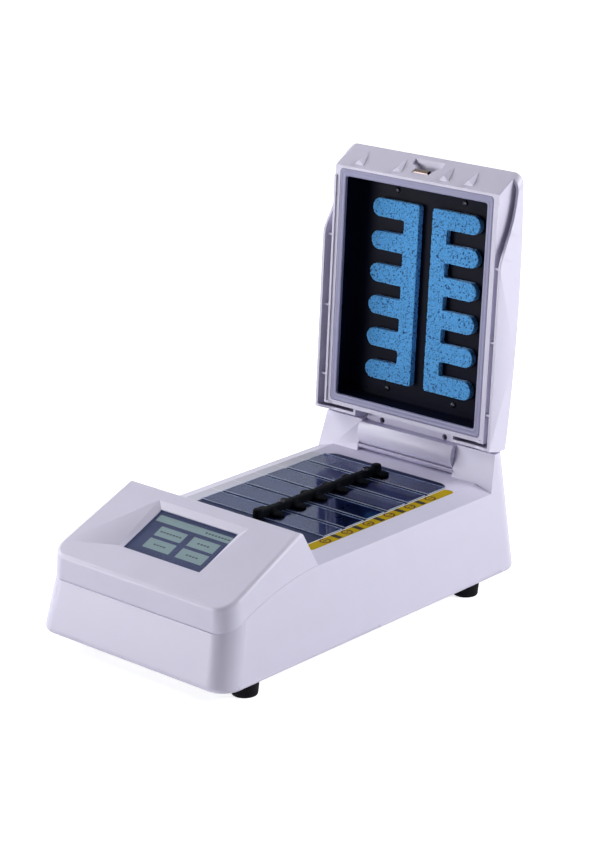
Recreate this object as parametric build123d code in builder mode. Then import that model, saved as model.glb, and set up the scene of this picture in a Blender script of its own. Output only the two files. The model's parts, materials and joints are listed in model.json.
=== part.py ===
"""Microscope-slide heater with a hinged humidity lid.

Twelve glass slides lie in two rows on a heated plate, under a deep lid that holds two damp sponge
combs. All sizes are in millimetres. +Z is up, +Y points to the hinge side and +X is the right-hand
side of someone who faces the screen. The origin is on the bench, under the middle of the object as
it stands with its lid open. Two values carry the layout: land is the height of the flat land round
the plate, which the lid's gasket closes on, and plate_rear is the Y of the plate's rear edge. Sizes
that end in _back are measured from that edge towards the front, sizes that end in _behind are
measured from it towards the hinge, and sizes that end in _rise are measured up from the land.
"""
from math import cos, radians, sin, sqrt, tan
import os

from build123d import *

os.makedirs("parts", exist_ok=True)

# Fits that several pieces share
fit_gap = 0.3
touch_gap = 0.1
wall = 3.0
over = 1.0
clear_rise = 70.0
clear_drop = 60.0
clear_side = 30.0

# Screws
screw_head_r = 2.8
screw_head_h = 2.0
screw_shank_r = 1.45
screw_hole_r = 1.5

# Layout
land = 104.5
plate_rear = 150.0
foot_height = 15.0

# Casing
casing_rear_behind = 59.8
base_half_width = 120.2
deck_half_width = 111.1
deck_edge_drop = 5.6
front_draft = 13.0
rear_draft = 3.4
casing_corner = 22.0
bottom_round = 5.0
bottom_lip = 8.0
deck_thickness = 3.0
land_half_width = 91.8

# Glass slides and the plate that carries them
slide_length = 76.2
slide_width = 25.4
slide_thickness = 1.0
slide_pitch = 30.4
slides_per_row = 6
slide_gap_middle = 1.8
first_slide_back = 21.9
plate_length = 216.0
plate_thickness = 9.0
plate_corner = 15.0
plate_gap = 0.6
deck_front_back = plate_length + 24.0

# Hinge towers
tower_height = 31.0
tower_front = 20.0
tower_lean = 14.5
tower_inner = 60.5
trough_mouth_rise = 6.8
tower_root = 20.0

# Hinge
hinge_behind = 36.4
hinge_rise = 19.2
barrel_r = 16.0
barrel_gap = 1.2
barrel_half = 59.5
barrel_flat = 10.3
barrel_bore_r = 4.5
hinge_pin_r = 4.0
hinge_bush_r = 6.5
hinge_bush_length = 16.0
hinge_running_gap = 0.05
pin_inner = 45.0
pin_in_tower = 22.0
pin_boss_wall = 3.5
lid_swing = 93.6

# Panel cover
panel_run = 103.1
cover_foot_drop = 38.0
panel_front_drop = 14.3
ridge_back = deck_front_back + 11.4
ridge_rise = 31.1
slope_foot_back = deck_front_back - 6.5
slope_foot_drop = 5.0
cover_front_back = ridge_back + panel_run
cover_setback = 13.0
casing_length = cover_front_back + cover_setback + casing_rear_behind
cover_wall = 2.6
cover_corner = 19.0
cover_round = 5.0
cover_boss_r = 4.5
cover_tab_drop = 52.0
cover_tab = (14.0, 16.0)
cover_tab_thickness = 3.0
cover_boss_x = 93.0
cover_boss_back = (deck_front_back + 24.0, deck_front_back + 92.0)
cover_screw_depth = 8.0

# Screen
screen_width = 97.2
screen_height = 55.3
screen_from_front = 35.0
bevel_depth = 3.0
bevel_front = 2.5
bevel_rear = 7.5
bevel_side_front = 2.4
bevel_side_rear = 7.8
window_lip = 1.2
pad_side = 14.0
pad_end = 10.0
glass_overlap = 4.0
glass_thickness = 1.6
display_thickness = 4.2
display_border = 2.0
bracket_thickness = 1.2
bracket_width = 10.0
bracket_leg = 6.0
bracket_apart = 36.0
display_screw_bite = 2.4

# Lid, in its closed place
dome_back = plate_length / 2 + 9.0
dome_rise = 37.0
dome_radius = 1218.0
lid_wall = 2.8
lip_slope = 0.72
lip_foot_back = plate_length + 13.0
lid_rear_foot_behind = 18.9
lid_rear_behind = 22.4
lid_rear_knee_rise = 14.0
skirt_drop = 3.5
lid_corner = 10.0
lid_round = 3.0
recess_curve = ((-71.0, -3.5), (-56.0, 1.0), (-42.0, 8.0), (-24.0, 15.5), (-6.0, 19.6), (33.0, 20.4))
frame_outer = 101.5
frame_wall = 2.5
frame_drop = 1.0
frame_rear_behind = 13.4
frame_face_rise = 0.5
frame_plate_rise = 6.4
opening_half_width = 87.7
opening_front_back = plate_length + 3.4
opening_rear_behind = 1.9
opening_corner = 3.0
gasket_width = 7.3
gasket_thickness = 3.0
gasket_rise = 0.3
rib_thickness = 2.0
rib_back = (15.7, 87.2, lip_foot_back - 70.2)
gusset_x = (-75.0, -27.0, 31.0, 61.0)
gusset_half_width = 7.0
gusset_foot_rise = 4.0
gusset_top_rise = 24.0
gusset_proud = 5.2
lobe_wall = 2.8

# Tray, its screws and the insulation over it
tray_rise = 26.0
tray_floor = 1.5
tray_wall = 2.0
tray_flange = 3.8
tray_flange_thickness = 1.5
tray_screw_x = 42.0
tray_screw_back = (8.5, opening_front_back - 9.9)
tray_screw_length = 5.0
lid_boss_r = 4.0
insulation_gap = 0.3
insulation_margin = 2.0

# Hinge leaf
leaf_rise = 18.0
leaf_top_rise = 30.0
leaf_screw_x = 40.0
leaf_screw_behind = 23.2
leaf_hole_r = 3.0
leaf_hole_depth = 4.0
leaf_screw_length = 6.0

# Latch
pocket_half_width = 9.5
pocket_flare_r = 9.0
pocket_low_rise = 7.0
pocket_high_rise = 22.0
pocket_back = lip_foot_back - 4.0
pocket_flare_back = lip_foot_back + 2.0
pocket_wall = 2.0
latch_half_width = 8.5
latch_strip = 0.8
latch_curl_r = 3.0
latch_curl_back = lip_foot_back + 5.5
latch_top_rise = 20.5
latch_screw_rise = 17.0
latch_screw_length = 2.4
keeper_half_width = 6.0
keeper_low_rise = 8.0
keeper_high_rise = 22.0
keeper_tab_rise = 13.6
keeper_reach = 4.6
keeper_thickness = 1.4

# Sponge combs
sponge_thickness = 7.0
sponge_inner = 8.0
sponge_spine = 19.0
sponge_reach = 67.0
sponge_finger = 19.0
sponge_margin = 16.5
sponge_pitch = (plate_length - 2 * sponge_margin - sponge_finger) / (slides_per_row - 1)
sponge_front_back = plate_length - 15.5
sponge_corner = 3.0

# Slide divider
bar_half_width = 3.8
bar_rise = 8.0
bar_front_back = plate_length - 19.0
bar_rear_back = 15.5
bar_foot_length = 3.0
wing_reach = 16.0
wing_width = 12.0
wing_corner = 2.5
wing_rise = 6.4
knob_r = 5.0
knob_height = 2.2
knob_back = (20.5, plate_length - 24.0)
divider_screw_gaps = (0, 4)
divider_screw_bite = 5.0

# Index strips
strip_gap = 0.3
strip_width = 13.6
strip_thickness = 0.2
strip_front_back = plate_length + 6.0
strip_rear_back = 11.0
strip_corner = 6.0

# Base plate, feet and vents
base_plate_thickness = 2.0
base_plate_gap = 0.5
case_boss_r = 4.5
case_boss_length = 30.0
case_boss_inset = 20.0
case_front_inset = 22.0
case_rear_inset = 30.0
case_screw_length = 14.0
foot_x = base_half_width - 19.7
foot_back = (3.9, cover_front_back - 34.9)
foot_bottom_r = 12.0
foot_top_r = 13.5
foot_bore_r = 4.0
foot_bore_depth = 7.0
foot_screw_length = 11.0
vent_count = 9
vent_length = 60.0
vent_width = 4.0
vent_pitch = 9.0
vent_back = 180.0

# Pieces under the heating plate
heater_thickness = 1.5
heater_half_width = 58.0
heater_front_back = plate_length - 17.0
heater_rear_back = 17.0
insulation_thickness = 9.0
backing_thickness = 1.0
backing_screw_x = 50.0
backing_screw_back = (27.0, plate_length - 27.0)
backing_screw_bite = 5.0
post_x = 67.0
post_back = (8.0, plate_length - 8.0)
post_r = 5.0
probe_x = 30.0
probe_rise = -6.0
probe_r = 2.0
probe_length = 36.0
probe_gap = 0.05
probe_tail = 6.0
cutout_r = 7.5
cutout_height = 9.0
cutout_back = plate_length - 8.0

# Rear panel
rear_centre_z = 52.0
inlet_x = -66.0
inlet_body = (30.0, 25.0)
inlet_depth = 28.0
inlet_flange = (48.0, 31.0)
inlet_flange_thickness = 2.4
inlet_screw_pitch = 40.0
inlet_screw_length = 5.0
socket_size = (24.0, 16.5)
socket_depth = 17.0
socket_pin = (2.0, 4.0)
socket_pin_length = 11.5
socket_pin_pitch = 7.0
socket_pin_step = 4.0
switch_x = -24.0
switch_body = (19.0, 27.0)
switch_depth = 16.0
switch_flange = (23.0, 31.0)
switch_flange_thickness = 1.6
rocker_width = 13.0
rocker_half_length = 9.0
rocker_side_gap = 0.5
rocker_end_gap = 1.4
rocker_cavity = 12.0
rocker_pivot_depth = 2.5
rocker_low = 4.0
rocker_tip = 4.4
rocker_dip = 3.0
rocker_pin_r = 1.2
rocker_pin_bite = 1.5
rocker_throw = 9.0
fuse_x = 2.0
fuse_r = 6.0
fuse_cap_r = 8.0
fuse_cap_h = 6.0
fuse_depth = 28.0
fan_x = 55.0
fan_size = 60.0
fan_depth = 15.0
fan_corner = 4.0
fan_bore_r = 28.5
fan_hub_r = 14.0
fan_blade_r = 26.8
fan_blades = 7
fan_blade_thickness = 1.5
fan_blade_chord = 13.0
fan_blade_pitch = 35.0
fan_screw_pitch = 50.0
fan_screw_length = 14.0
fan_spoke_width = 4.0
fan_spoke_depth = 1.5
fan_motor_r = 12.0
fan_rotor_gap = 1.0
fan_shaft_r = 2.5
fan_shaft_gap = 0.05
grille_ring_r = (9.0, 17.5, 26.0)
grille_ring_width = 1.8
grille_thickness = 1.6
grille_ear_r = 4.5

# Electronics inside
board_standoff = 6.0
standoff_r = 3.0
standoff_inset = 6.0
board_thickness = 1.6
main_board = (150.0, 70.0)
main_board_back = cover_front_back - 64.5
relay = ((50.0, 10.0), (16.0, 26.0), 15.0)
processor = ((-10.0, -8.0), (20.0, 20.0), 2.0)
terminals = ((-52.0, 22.0), (34.0, 12.0), 12.0)
supply = (98.0, 62.0, 34.0)
supply_x = -48.0
supply_back = 80.0

casing_rear = plate_rear + casing_rear_behind
casing_front = casing_rear - casing_length
tower_top = land + tower_height
deck_front = plate_rear - deck_front_back
cover_front = plate_rear - cover_front_back
hinge_y = plate_rear + hinge_behind
hinge_z = land + hinge_rise
plate_half_width = slide_length + slide_gap_middle / 2
plate_front = plate_rear - plate_length
plate_low = land - plate_thickness
base_top = foot_height + base_plate_thickness
high = land + clear_rise
deep = land - clear_drop
far_x = base_half_width + clear_side
far_y = 2 * casing_length
trough_r = barrel_r + barrel_gap
hinge_axis = Axis((0, hinge_y, hinge_z), (1, 0, 0))
slide_backs = [first_slide_back + slide_pitch * k for k in range(slides_per_row)]
gap_backs = [back + slide_pitch / 2 for back in slide_backs]
slide_top = land + slide_thickness
side_slope = (base_half_width - deck_half_width) / (land - deck_edge_drop - foot_height)
margin_slope = deck_edge_drop / (deck_half_width - land_half_width)


def side_x(z, inset=0.0):
    """Half-width of the casing at height z, less an inset from its drafted side."""
    return base_half_width - (z - foot_height) * side_slope - inset


def at(back, rise):
    """Point of a YZ sketch, by its distances from the plate's rear edge and the land."""
    return (plate_rear - back, land + rise)


def grid(half_x, backs):
    """Plan points at both sides of the middle and at several distances from the plate's rear edge."""
    return [(sx * half_x, plate_rear - back) for sx in (-1, 1) for back in backs]


def box(x, y, z):
    """Box between pairs of limits."""
    with BuildPart(mode=Mode.PRIVATE) as block:
        with Locations(((x[0] + x[1]) / 2, (y[0] + y[1]) / 2, (z[0] + z[1]) / 2)):
            Box(abs(x[1] - x[0]), abs(y[1] - y[0]), abs(z[1] - z[0]))
    return block.part


def pins(plane, points, radius, start, end):
    """Cylinders on a plane, at several of its points, between two heights over it."""
    with BuildPart(mode=Mode.PRIVATE) as group:
        with BuildSketch(plane.offset(start)):
            with Locations(*points):
                Circle(radius)
        extrude(amount=end - start)
    return group.part


def posts(points, radius, low, top):
    """Upright cylinders at several points of the plan."""
    return pins(Plane.XY, points, radius, low, top)


def screws(plane, points, seat, length):
    """Pan-head screws: the head's inner face lies at seat, and the shank goes to seat + length."""
    sign = 1 if length > 0 else -1
    with BuildPart(mode=Mode.PRIVATE) as group:
        add(pins(plane, points, screw_head_r, seat - sign * screw_head_h, seat))
        add(pins(plane, points, screw_shank_r, seat, seat + length))
    return group.part


def slab(outline, height):
    """Solid from a sketch along its normal."""
    with BuildPart(mode=Mode.PRIVATE) as block:
        extrude(outline, amount=height)
    return block.part


def profile(*points):
    """YZ sketch of a polygon."""
    with BuildSketch(Plane.YZ, mode=Mode.PRIVATE) as outline:
        with BuildLine():
            Polyline(*points, close=True)
        make_face()
    return outline.sketch


def across(outline, half_width, start=0.0):
    """Solid from a YZ sketch between x = start and half_width, and its mirror image."""
    with BuildPart(mode=Mode.PRIVATE) as block:
        extrude(outline.moved(Location((start, 0, 0))), amount=half_width - start)
        mirror(about=Plane.YZ)
    return block.part


def plan(z, x, y, corner):
    """Sketch of a rounded rectangle at height z between pairs of limits."""
    with BuildSketch(Plane.XY.offset(z), mode=Mode.PRIVATE) as outline:
        with Locations(((x[0] + x[1]) / 2, (y[0] + y[1]) / 2)):
            RectangleRounded(x[1] - x[0], y[1] - y[0], corner)
    return outline.sketch


def common(first, *others):
    """Volume that all the given solids share."""
    with BuildPart(mode=Mode.PRIVATE) as shared:
        add(first)
        for other in others:
            add(other, mode=Mode.INTERSECT)
    return shared.part


def less(part, *tools):
    """A solid with others taken away."""
    with BuildPart(mode=Mode.PRIVATE) as rest:
        add(part)
        for tool in tools:
            add(tool, mode=Mode.SUBTRACT)
    return rest.part


def joined(*parts):
    """Several solids as one part."""
    with BuildPart(mode=Mode.PRIVATE) as group:
        for part in parts:
            add(part)
    return group.part


def opened(part):
    """Swing a lid piece from its closed place to the open pose."""
    return part.rotate(hinge_axis, -lid_swing)


def finish(part, name):
    """Label one finished piece and write its file."""
    part.label = name
    export_step(part, f"parts/{name}.step")
    print(f"{name}: {len(part.solids())} solids, {part.volume / 1000:.2f} cm3, valid {part.is_valid}")


def drafted_block(inset, low, top, fronts, rears, corner):
    """Block with drafted sides between two heights, from the Y of its front and rear at both of them."""
    half_low = side_x(low, inset)
    half_top = side_x(top, inset)
    with BuildSketch(Plane.XZ.offset(-far_y), mode=Mode.PRIVATE) as ends:
        with BuildLine():
            Polyline((-half_low, low), (half_low, low), (half_top, top), (-half_top, top), close=True)
        make_face()
    side = profile((fronts[0], low), (rears[0], low), (rears[1], top), (fronts[1], top))
    with BuildPart(mode=Mode.PRIVATE) as block:
        extrude(ends.sketch, amount=2 * far_y)
        add(across(side, far_x), mode=Mode.INTERSECT)
        fillet(block.edges().filter_by(lambda edge: abs(edge.tangent_at(0.5).Z) > 0.5), corner)
    return block.part


def casing_envelope(inset, low, top):
    """Drafted block of the casing between two heights, inset on every side."""
    rises = [z - foot_height for z in (low, top)]
    fronts = [casing_front + rise * tan(radians(front_draft)) + inset for rise in rises]
    rears = [casing_rear - rise * tan(radians(rear_draft)) - inset for rise in rises]
    return drafted_block(inset, low, top, fronts, rears, casing_corner - inset)


def below_deck(raise_by, low, front, rear):
    """Everything under the deck's surface, moved up by a distance, between two Y values."""
    drop = (far_x - land_half_width) * margin_slope
    with BuildSketch(Plane.XZ.offset(-rear), mode=Mode.PRIVATE) as outline:
        with BuildLine():
            Polyline(
                (-far_x, low), (-far_x, land + raise_by - drop), (-land_half_width, land + raise_by),
                (land_half_width, land + raise_by), (far_x, land + raise_by - drop), (far_x, low),
                close=True,
            )
        make_face()
    return slab(outline.sketch, rear - front)


def tower_outline(inset, drop):
    """YZ outline of a tower, less an inset from its front and top."""
    lean = tan(radians(tower_lean))
    front = plate_rear + tower_front + inset / cos(radians(tower_lean))
    top = tower_height - inset
    return profile(
        (front - (drop - deck_edge_drop) * lean, land - drop),
        (front + (top + deck_edge_drop) * lean, land + top),
        (casing_rear + over, land + top), (casing_rear + over, land - drop),
    )


def ring_round_axis(radius, half_width, start=0.0):
    """Cylinder round the hinge axis between x = start and half_width, and its mirror image."""
    with BuildSketch(Plane.YZ, mode=Mode.PRIVATE) as disc:
        with Locations((hinge_y, hinge_z)):
            Circle(radius)
    return across(disc.sketch, half_width, start)


# Seam between the casing and the panel cover, seen from the side
seam_rear = (deck_front, land - deck_edge_drop)
seam_middle = at(298.5, -16.0)
seam_front = at(cover_front_back, -cover_foot_drop)


def seam_side(end_z, lift):
    """Solid between the seam, moved up by lift, and the height end_z."""
    with BuildSketch(Plane.YZ, mode=Mode.PRIVATE) as outline:
        with BuildLine():
            ThreePointArc(seam_rear, seam_middle, seam_front)
            Polyline(
                seam_front, (casing_front - over, seam_front[1]), (casing_front - over, end_z),
                (seam_rear[0], end_z), seam_rear,
            )
        make_face()
    return across(outline.sketch.moved(Location((0, 0, lift))), far_x)


def plate_outline(z, gap):
    """Outline of the plate or its opening: square in front, rounded at the rear corners."""
    half = plate_half_width + gap
    with BuildSketch(Plane.XY.offset(z), mode=Mode.PRIVATE) as outline:
        with BuildLine():
            FilletPolyline(
                (-half, plate_front - gap), (-half, plate_rear + gap), (half, plate_rear + gap),
                (half, plate_front - gap), radius=plate_corner,
            )
            Line((half, plate_front - gap), (-half, plate_front - gap))
        make_face()
    return outline.sketch


# Rear wall's own frame: local x is -X, local y is up the drafted wall, local z points out
rear_normal = Vector(0, cos(radians(rear_draft)), sin(radians(rear_draft)))
rear_face_y = casing_rear - (rear_centre_z - foot_height) * tan(radians(rear_draft))


def rear_plane(x, out=0.0):
    """Plane on the rear wall at one X, so far out of its surface."""
    return Plane(Vector(x, rear_face_y, rear_centre_z) + rear_normal * out, x_dir=(-1, 0, 0), z_dir=rear_normal)


def rear_block(x, size, inner, outer, corner=0.5):
    """Rounded block on the rear wall, from one depth to another along the wall's normal."""
    with BuildPart(mode=Mode.PRIVATE) as block:
        with BuildSketch(rear_plane(x, inner)):
            RectangleRounded(size[0], size[1], corner)
        extrude(amount=outer - inner)
    return block.part


def rear_disc(x, radius, inner, outer):
    """Disc on the rear wall, from one depth to another along the wall's normal."""
    return pins(rear_plane(x), [(0, 0)], radius, inner, outer)


# Casing: walls, deck, hinge towers and trough in one moulding
envelope = casing_envelope(0.0, foot_height, tower_top)
case_boss_x = side_x(foot_height) - case_boss_inset
case_points = [
    (sx * case_boss_x, y)
    for sx in (-1, 1)
    for y in (casing_front + case_front_inset, (casing_front + casing_rear) / 2, casing_rear - case_rear_inset)
]
tab_points = grid(cover_boss_x, cover_boss_back)
tab_z = land - cover_tab_drop
floor_half = side_x(foot_height, bottom_lip)
floor_front = casing_front + bottom_lip
floor_rear = casing_rear - bottom_lip
mouth_z = land + trough_mouth_rise
fan_screw_points = [
    (sx * fan_screw_pitch / 2, sy * fan_screw_pitch / 2) for sx in (-1, 1) for sy in (-1, 1)
]
inlet_screw_points = [(-inlet_screw_pitch / 2, 0), (inlet_screw_pitch / 2, 0)]

deck_slab = less(
    below_deck(0.0, deep, deck_front, casing_rear),
    below_deck(-deck_thickness, deep - over, deck_front - over, casing_rear + over),
)
trough_block = common(
    ring_round_axis(trough_r + wall, tower_inner),
    box((-far_x, far_x), (casing_front, casing_rear), (deep, mouth_z)),
)
pin_boss = across(
    profile(
        (hinge_y - hinge_pin_r - pin_boss_wall, hinge_z - hinge_pin_r - pin_boss_wall),
        (hinge_y - hinge_pin_r - pin_boss_wall, hinge_z + hinge_pin_r + pin_boss_wall),
        (casing_rear, hinge_z + hinge_pin_r + pin_boss_wall),
        (casing_rear, hinge_z - hinge_pin_r - pin_boss_wall),
    ),
    tower_inner + pin_in_tower, tower_inner,
)

with BuildPart() as fittings:
    add(deck_slab)
    add(across(tower_outline(0.0, tower_root), far_x, tower_inner))
    add(trough_block)
    add(across(tower_outline(wall, tower_root + 10 * over), far_x, tower_inner + wall), mode=Mode.SUBTRACT)
    add(pin_boss)
    add(posts(case_points, case_boss_r, base_top, base_top + case_boss_length))
    for x, y in case_points:
        side = 1 if x > 0 else -1
        add(box((x, x + side * case_boss_inset), (y - wall / 2, y + wall / 2),
                (foot_height + wall, base_top + case_boss_length)))
    for x, y in tab_points:
        side = 1 if x > 0 else -1
        add(box((x - side * cover_tab[0] / 2, side * far_x),
                (y - cover_tab[1] / 2, y + cover_tab[1] / 2), (tab_z - cover_tab_thickness, tab_z)))

kept_over_deck = joined(
    below_deck(0.0, deep - over, deck_front - over, casing_rear + 2 * over),
    across(tower_outline(0.0, tower_root), far_x, tower_inner),
    trough_block,
    box((-tower_inner, tower_inner), (hinge_y, casing_rear + 2 * over), (deep, mouth_z)),
)
air_over_deck = less(box((-far_x, far_x), (deck_front, casing_rear + over), (deep, high)), kept_over_deck)

with BuildPart() as body_shell:
    add(envelope)
    fillet(body_shell.faces().sort_by(Axis.Z)[0].outer_wire().edges(), bottom_round)
    add(casing_envelope(wall, foot_height + wall, tower_top + over), mode=Mode.SUBTRACT)
    add(slab(plan(foot_height - over, (-floor_half, floor_half), (floor_front, floor_rear),
                  casing_corner - bottom_lip), wall + 2 * over), mode=Mode.SUBTRACT)
    add(rear_block(inlet_x, [size + fit_gap for size in inlet_body], -3 * wall, wall), mode=Mode.SUBTRACT)
    add(rear_block(switch_x, [size + fit_gap for size in switch_body], -3 * wall, wall), mode=Mode.SUBTRACT)
    add(rear_disc(fuse_x, fuse_r + touch_gap, -3 * wall, wall), mode=Mode.SUBTRACT)
    add(rear_disc(fan_x, fan_bore_r, -3 * wall, wall), mode=Mode.SUBTRACT)
    add(pins(rear_plane(fan_x), fan_screw_points, screw_hole_r, -2 * wall, wall), mode=Mode.SUBTRACT)
    add(pins(rear_plane(inlet_x), inlet_screw_points, screw_hole_r, -2 * wall, wall), mode=Mode.SUBTRACT)
    add(common(fittings.part, envelope))
    add(seam_side(high, 0.0), mode=Mode.SUBTRACT)
    add(air_over_deck, mode=Mode.SUBTRACT)
    add(ring_round_axis(trough_r, tower_inner), mode=Mode.SUBTRACT)
    add(ring_round_axis(hinge_pin_r, tower_inner + pin_in_tower), mode=Mode.SUBTRACT)
    add(slab(plate_outline(land - deck_thickness - over, plate_gap), deck_thickness + 2 * over),
        mode=Mode.SUBTRACT)
    add(posts(case_points, screw_hole_r, base_top - over, base_top + case_screw_length), mode=Mode.SUBTRACT)
    add(posts(tab_points, screw_hole_r, tab_z - 2 * cover_tab_thickness, tab_z + over), mode=Mode.SUBTRACT)

finish(body_shell.part, "body_shell")

# Panel cover, whose slope carries the screen
panel_angle = (ridge_rise + panel_front_drop) / (cover_front_back - ridge_back)
rear_angle = (ridge_rise + slope_foot_drop) / (ridge_back - slope_foot_back)
panel_tilt = sqrt(1 + panel_angle * panel_angle)
panel_plane = Plane(
    origin=(0, cover_front, land - panel_front_drop),
    x_dir=(1, 0, 0), z_dir=(0, -panel_angle / panel_tilt, 1 / panel_tilt),
)
cover_low_rise = -90.0
cover_ahead = 30.0


def slope_back(rise):
    """Distance of the cover's rear slope from the plate's rear edge, at one height over the land."""
    return slope_foot_back + (rise + slope_foot_drop) / rear_angle


def cover_block(inset):
    """Outer block of the panel cover, inset on every side but the bottom."""
    with BuildSketch(Plane.YZ, mode=Mode.PRIVATE) as outline:
        with BuildLine():
            Polyline(
                at(cover_front_back + cover_ahead, cover_low_rise),
                at(cover_front_back + cover_ahead, -panel_front_drop - cover_ahead * panel_angle),
                at(ridge_back, ridge_rise),
                at(slope_back(cover_low_rise), cover_low_rise), close=True,
            )
        make_face()
        if inset:
            offset(amount=-inset, kind=Kind.INTERSECTION, mode=Mode.REPLACE)
    ends = (cover_front + inset, cover_front + inset), (plate_rear, plate_rear)
    return common(
        drafted_block(inset, land + cover_low_rise, high, *ends, cover_corner - inset),
        across(outline.sketch, far_x),
    )


def panel_outline(depth, front, rear, half_front, half_rear):
    """Four-sided outline on the panel, so far under its surface."""
    with BuildSketch(panel_plane.offset(-depth), mode=Mode.PRIVATE) as outline:
        with BuildLine():
            Polyline((-half_front, front), (half_front, front), (half_rear, rear), (-half_rear, rear), close=True)
        make_face()
    return outline.sketch


def panel_block(half_width, front, rear, depth, thickness):
    """Block under the panel's surface, from one depth down by its thickness."""
    return slab(panel_outline(depth + thickness, front, rear, half_width, half_width), thickness)


screen_rear = screen_from_front + screen_height
screen_half = screen_width / 2
pad_depth = bevel_depth + window_lip
pad = panel_block(screen_half + pad_side, screen_from_front - pad_end, screen_rear + pad_end, 0.0, pad_depth)
with BuildPart(mode=Mode.PRIVATE) as bevel:
    add(panel_outline(0.0, screen_from_front - bevel_front, screen_rear + bevel_rear,
                      screen_half + bevel_side_front, screen_half + bevel_side_rear))
    add(panel_outline(bevel_depth, screen_from_front, screen_rear, screen_half, screen_half))
    loft()
bosses = common(posts(tab_points, cover_boss_r, tab_z, high), cover_block(cover_wall / 2))
display_depth = pad_depth + glass_thickness + display_thickness
bracket_x = screen_half + pad_side - bracket_leg / 2
bracket_middle = screen_from_front + screen_height / 2
display_screw_points = [
    (sx * bracket_x, bracket_middle + sy * bracket_apart / 2) for sx in (-1, 1) for sy in (-1, 1)
]

with BuildPart() as panel_cover:
    add(cover_block(0.0))
    panel_face = panel_cover.faces().filter_by(lambda face: face.normal_at().Y < -0.2 and face.normal_at().Z > 0.8)[0]
    fillet(panel_face.outer_wire().edges(), cover_round)
    add(cover_block(cover_wall), mode=Mode.SUBTRACT)
    add(common(pad, cover_block(cover_wall / 2)))
    add(bosses)
    add(seam_side(deep - clear_drop, fit_gap), mode=Mode.SUBTRACT)
    add(less(below_deck(fit_gap, deep - clear_drop, deck_front, casing_rear), bosses), mode=Mode.SUBTRACT)
    add(bosses)
    add(bevel, mode=Mode.SUBTRACT)
    add(panel_block(screen_half, screen_from_front, screen_rear, -over, pad_depth + 2 * over), mode=Mode.SUBTRACT)
    add(posts(tab_points, screw_hole_r, tab_z - over, tab_z + cover_screw_depth), mode=Mode.SUBTRACT)
    add(pins(panel_plane, display_screw_points, screw_hole_r, -pad_depth - over, -pad_depth + display_screw_bite),
        mode=Mode.SUBTRACT)

finish(panel_cover.part, "panel_cover")

finish(screws(Plane.XY, tab_points, tab_z - cover_tab_thickness, cover_tab_thickness + cover_screw_depth - over),
       "cover_screws")

with BuildPart() as touch_glass:
    add(panel_block(screen_half + glass_overlap, screen_from_front - glass_overlap, screen_rear + glass_overlap,
                    pad_depth, glass_thickness))
finish(touch_glass.part, "touch_glass")

with BuildPart() as display_module:
    add(panel_block(screen_half + display_border, screen_from_front - display_border, screen_rear + display_border,
                    pad_depth + glass_thickness, display_thickness))
finish(display_module.part, "display_module")

with BuildPart() as display_bracket:
    for sy in (-1, 1):
        middle = bracket_middle + sy * bracket_apart / 2
        add(panel_block(bracket_x + bracket_leg / 2, middle - bracket_width / 2, middle + bracket_width / 2,
                        display_depth, bracket_thickness))
        with BuildSketch(panel_plane.offset(-display_depth)):
            with Locations((-bracket_x, middle), (bracket_x, middle)):
                Rectangle(bracket_leg, bracket_width)
        extrude(amount=display_depth - pad_depth)
    add(panel_block(bracket_width, bracket_middle - bracket_apart / 2, bracket_middle + bracket_apart / 2,
                    display_depth, bracket_thickness))
    add(pins(panel_plane, display_screw_points, screw_hole_r, -display_depth - 2 * bracket_thickness, -pad_depth + over),
        mode=Mode.SUBTRACT)
finish(display_bracket.part, "display_bracket")

bracket_under = display_depth + bracket_thickness
finish(screws(panel_plane, display_screw_points, -bracket_under,
              bracket_under - pad_depth + display_screw_bite - touch_gap),
       "display_screws")

# Base plate, feet and their screws
foot_points = grid(foot_x, foot_back)
with BuildPart() as base_plate:
    add(slab(plan(foot_height, (-floor_half + base_plate_gap, floor_half - base_plate_gap),
                  (floor_front + base_plate_gap, floor_rear - base_plate_gap),
                  casing_corner - bottom_lip - base_plate_gap), base_plate_thickness))
    add(posts(case_points + foot_points, screw_hole_r, foot_height - over, base_top + over), mode=Mode.SUBTRACT)
    with BuildSketch(Plane.XY.offset(foot_height - over)):
        with Locations((0, plate_rear - vent_back)):
            with GridLocations(vent_pitch, 0, vent_count, 1):
                SlotOverall(vent_length, vent_width, rotation=90)
    extrude(amount=base_plate_thickness + 2 * over, mode=Mode.SUBTRACT)
finish(base_plate.part, "base_plate")

with BuildPart() as rubber_feet:
    for x, y in foot_points:
        with BuildSketch(Plane.XZ.offset(-y)):
            with BuildLine():
                Polyline((x, 0), (x + foot_bottom_r, 0), (x + foot_top_r, foot_height), (x, foot_height), close=True)
            make_face()
        revolve(axis=Axis((x, y, 0), (0, 0, 1)))
    add(posts(foot_points, foot_bore_r, -over, foot_bore_depth), mode=Mode.SUBTRACT)
    add(posts(foot_points, screw_hole_r, 0, foot_height + over), mode=Mode.SUBTRACT)
finish(rubber_feet.part, "rubber_feet")

finish(screws(Plane.XY, foot_points, foot_bore_depth, foot_screw_length), "foot_screws")
finish(screws(Plane.XY, case_points, foot_height, case_screw_length), "case_screws")

# Heating plate, flush with the land
divider_points = [(0, plate_rear - gap_backs[k]) for k in divider_screw_gaps]
backing_points = grid(backing_screw_x, backing_screw_back)
probe_plane = Plane(origin=(probe_x, plate_front, land + probe_rise), x_dir=(1, 0, 0), z_dir=(0, 1, 0))
slide_inner = slide_gap_middle / 2

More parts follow.
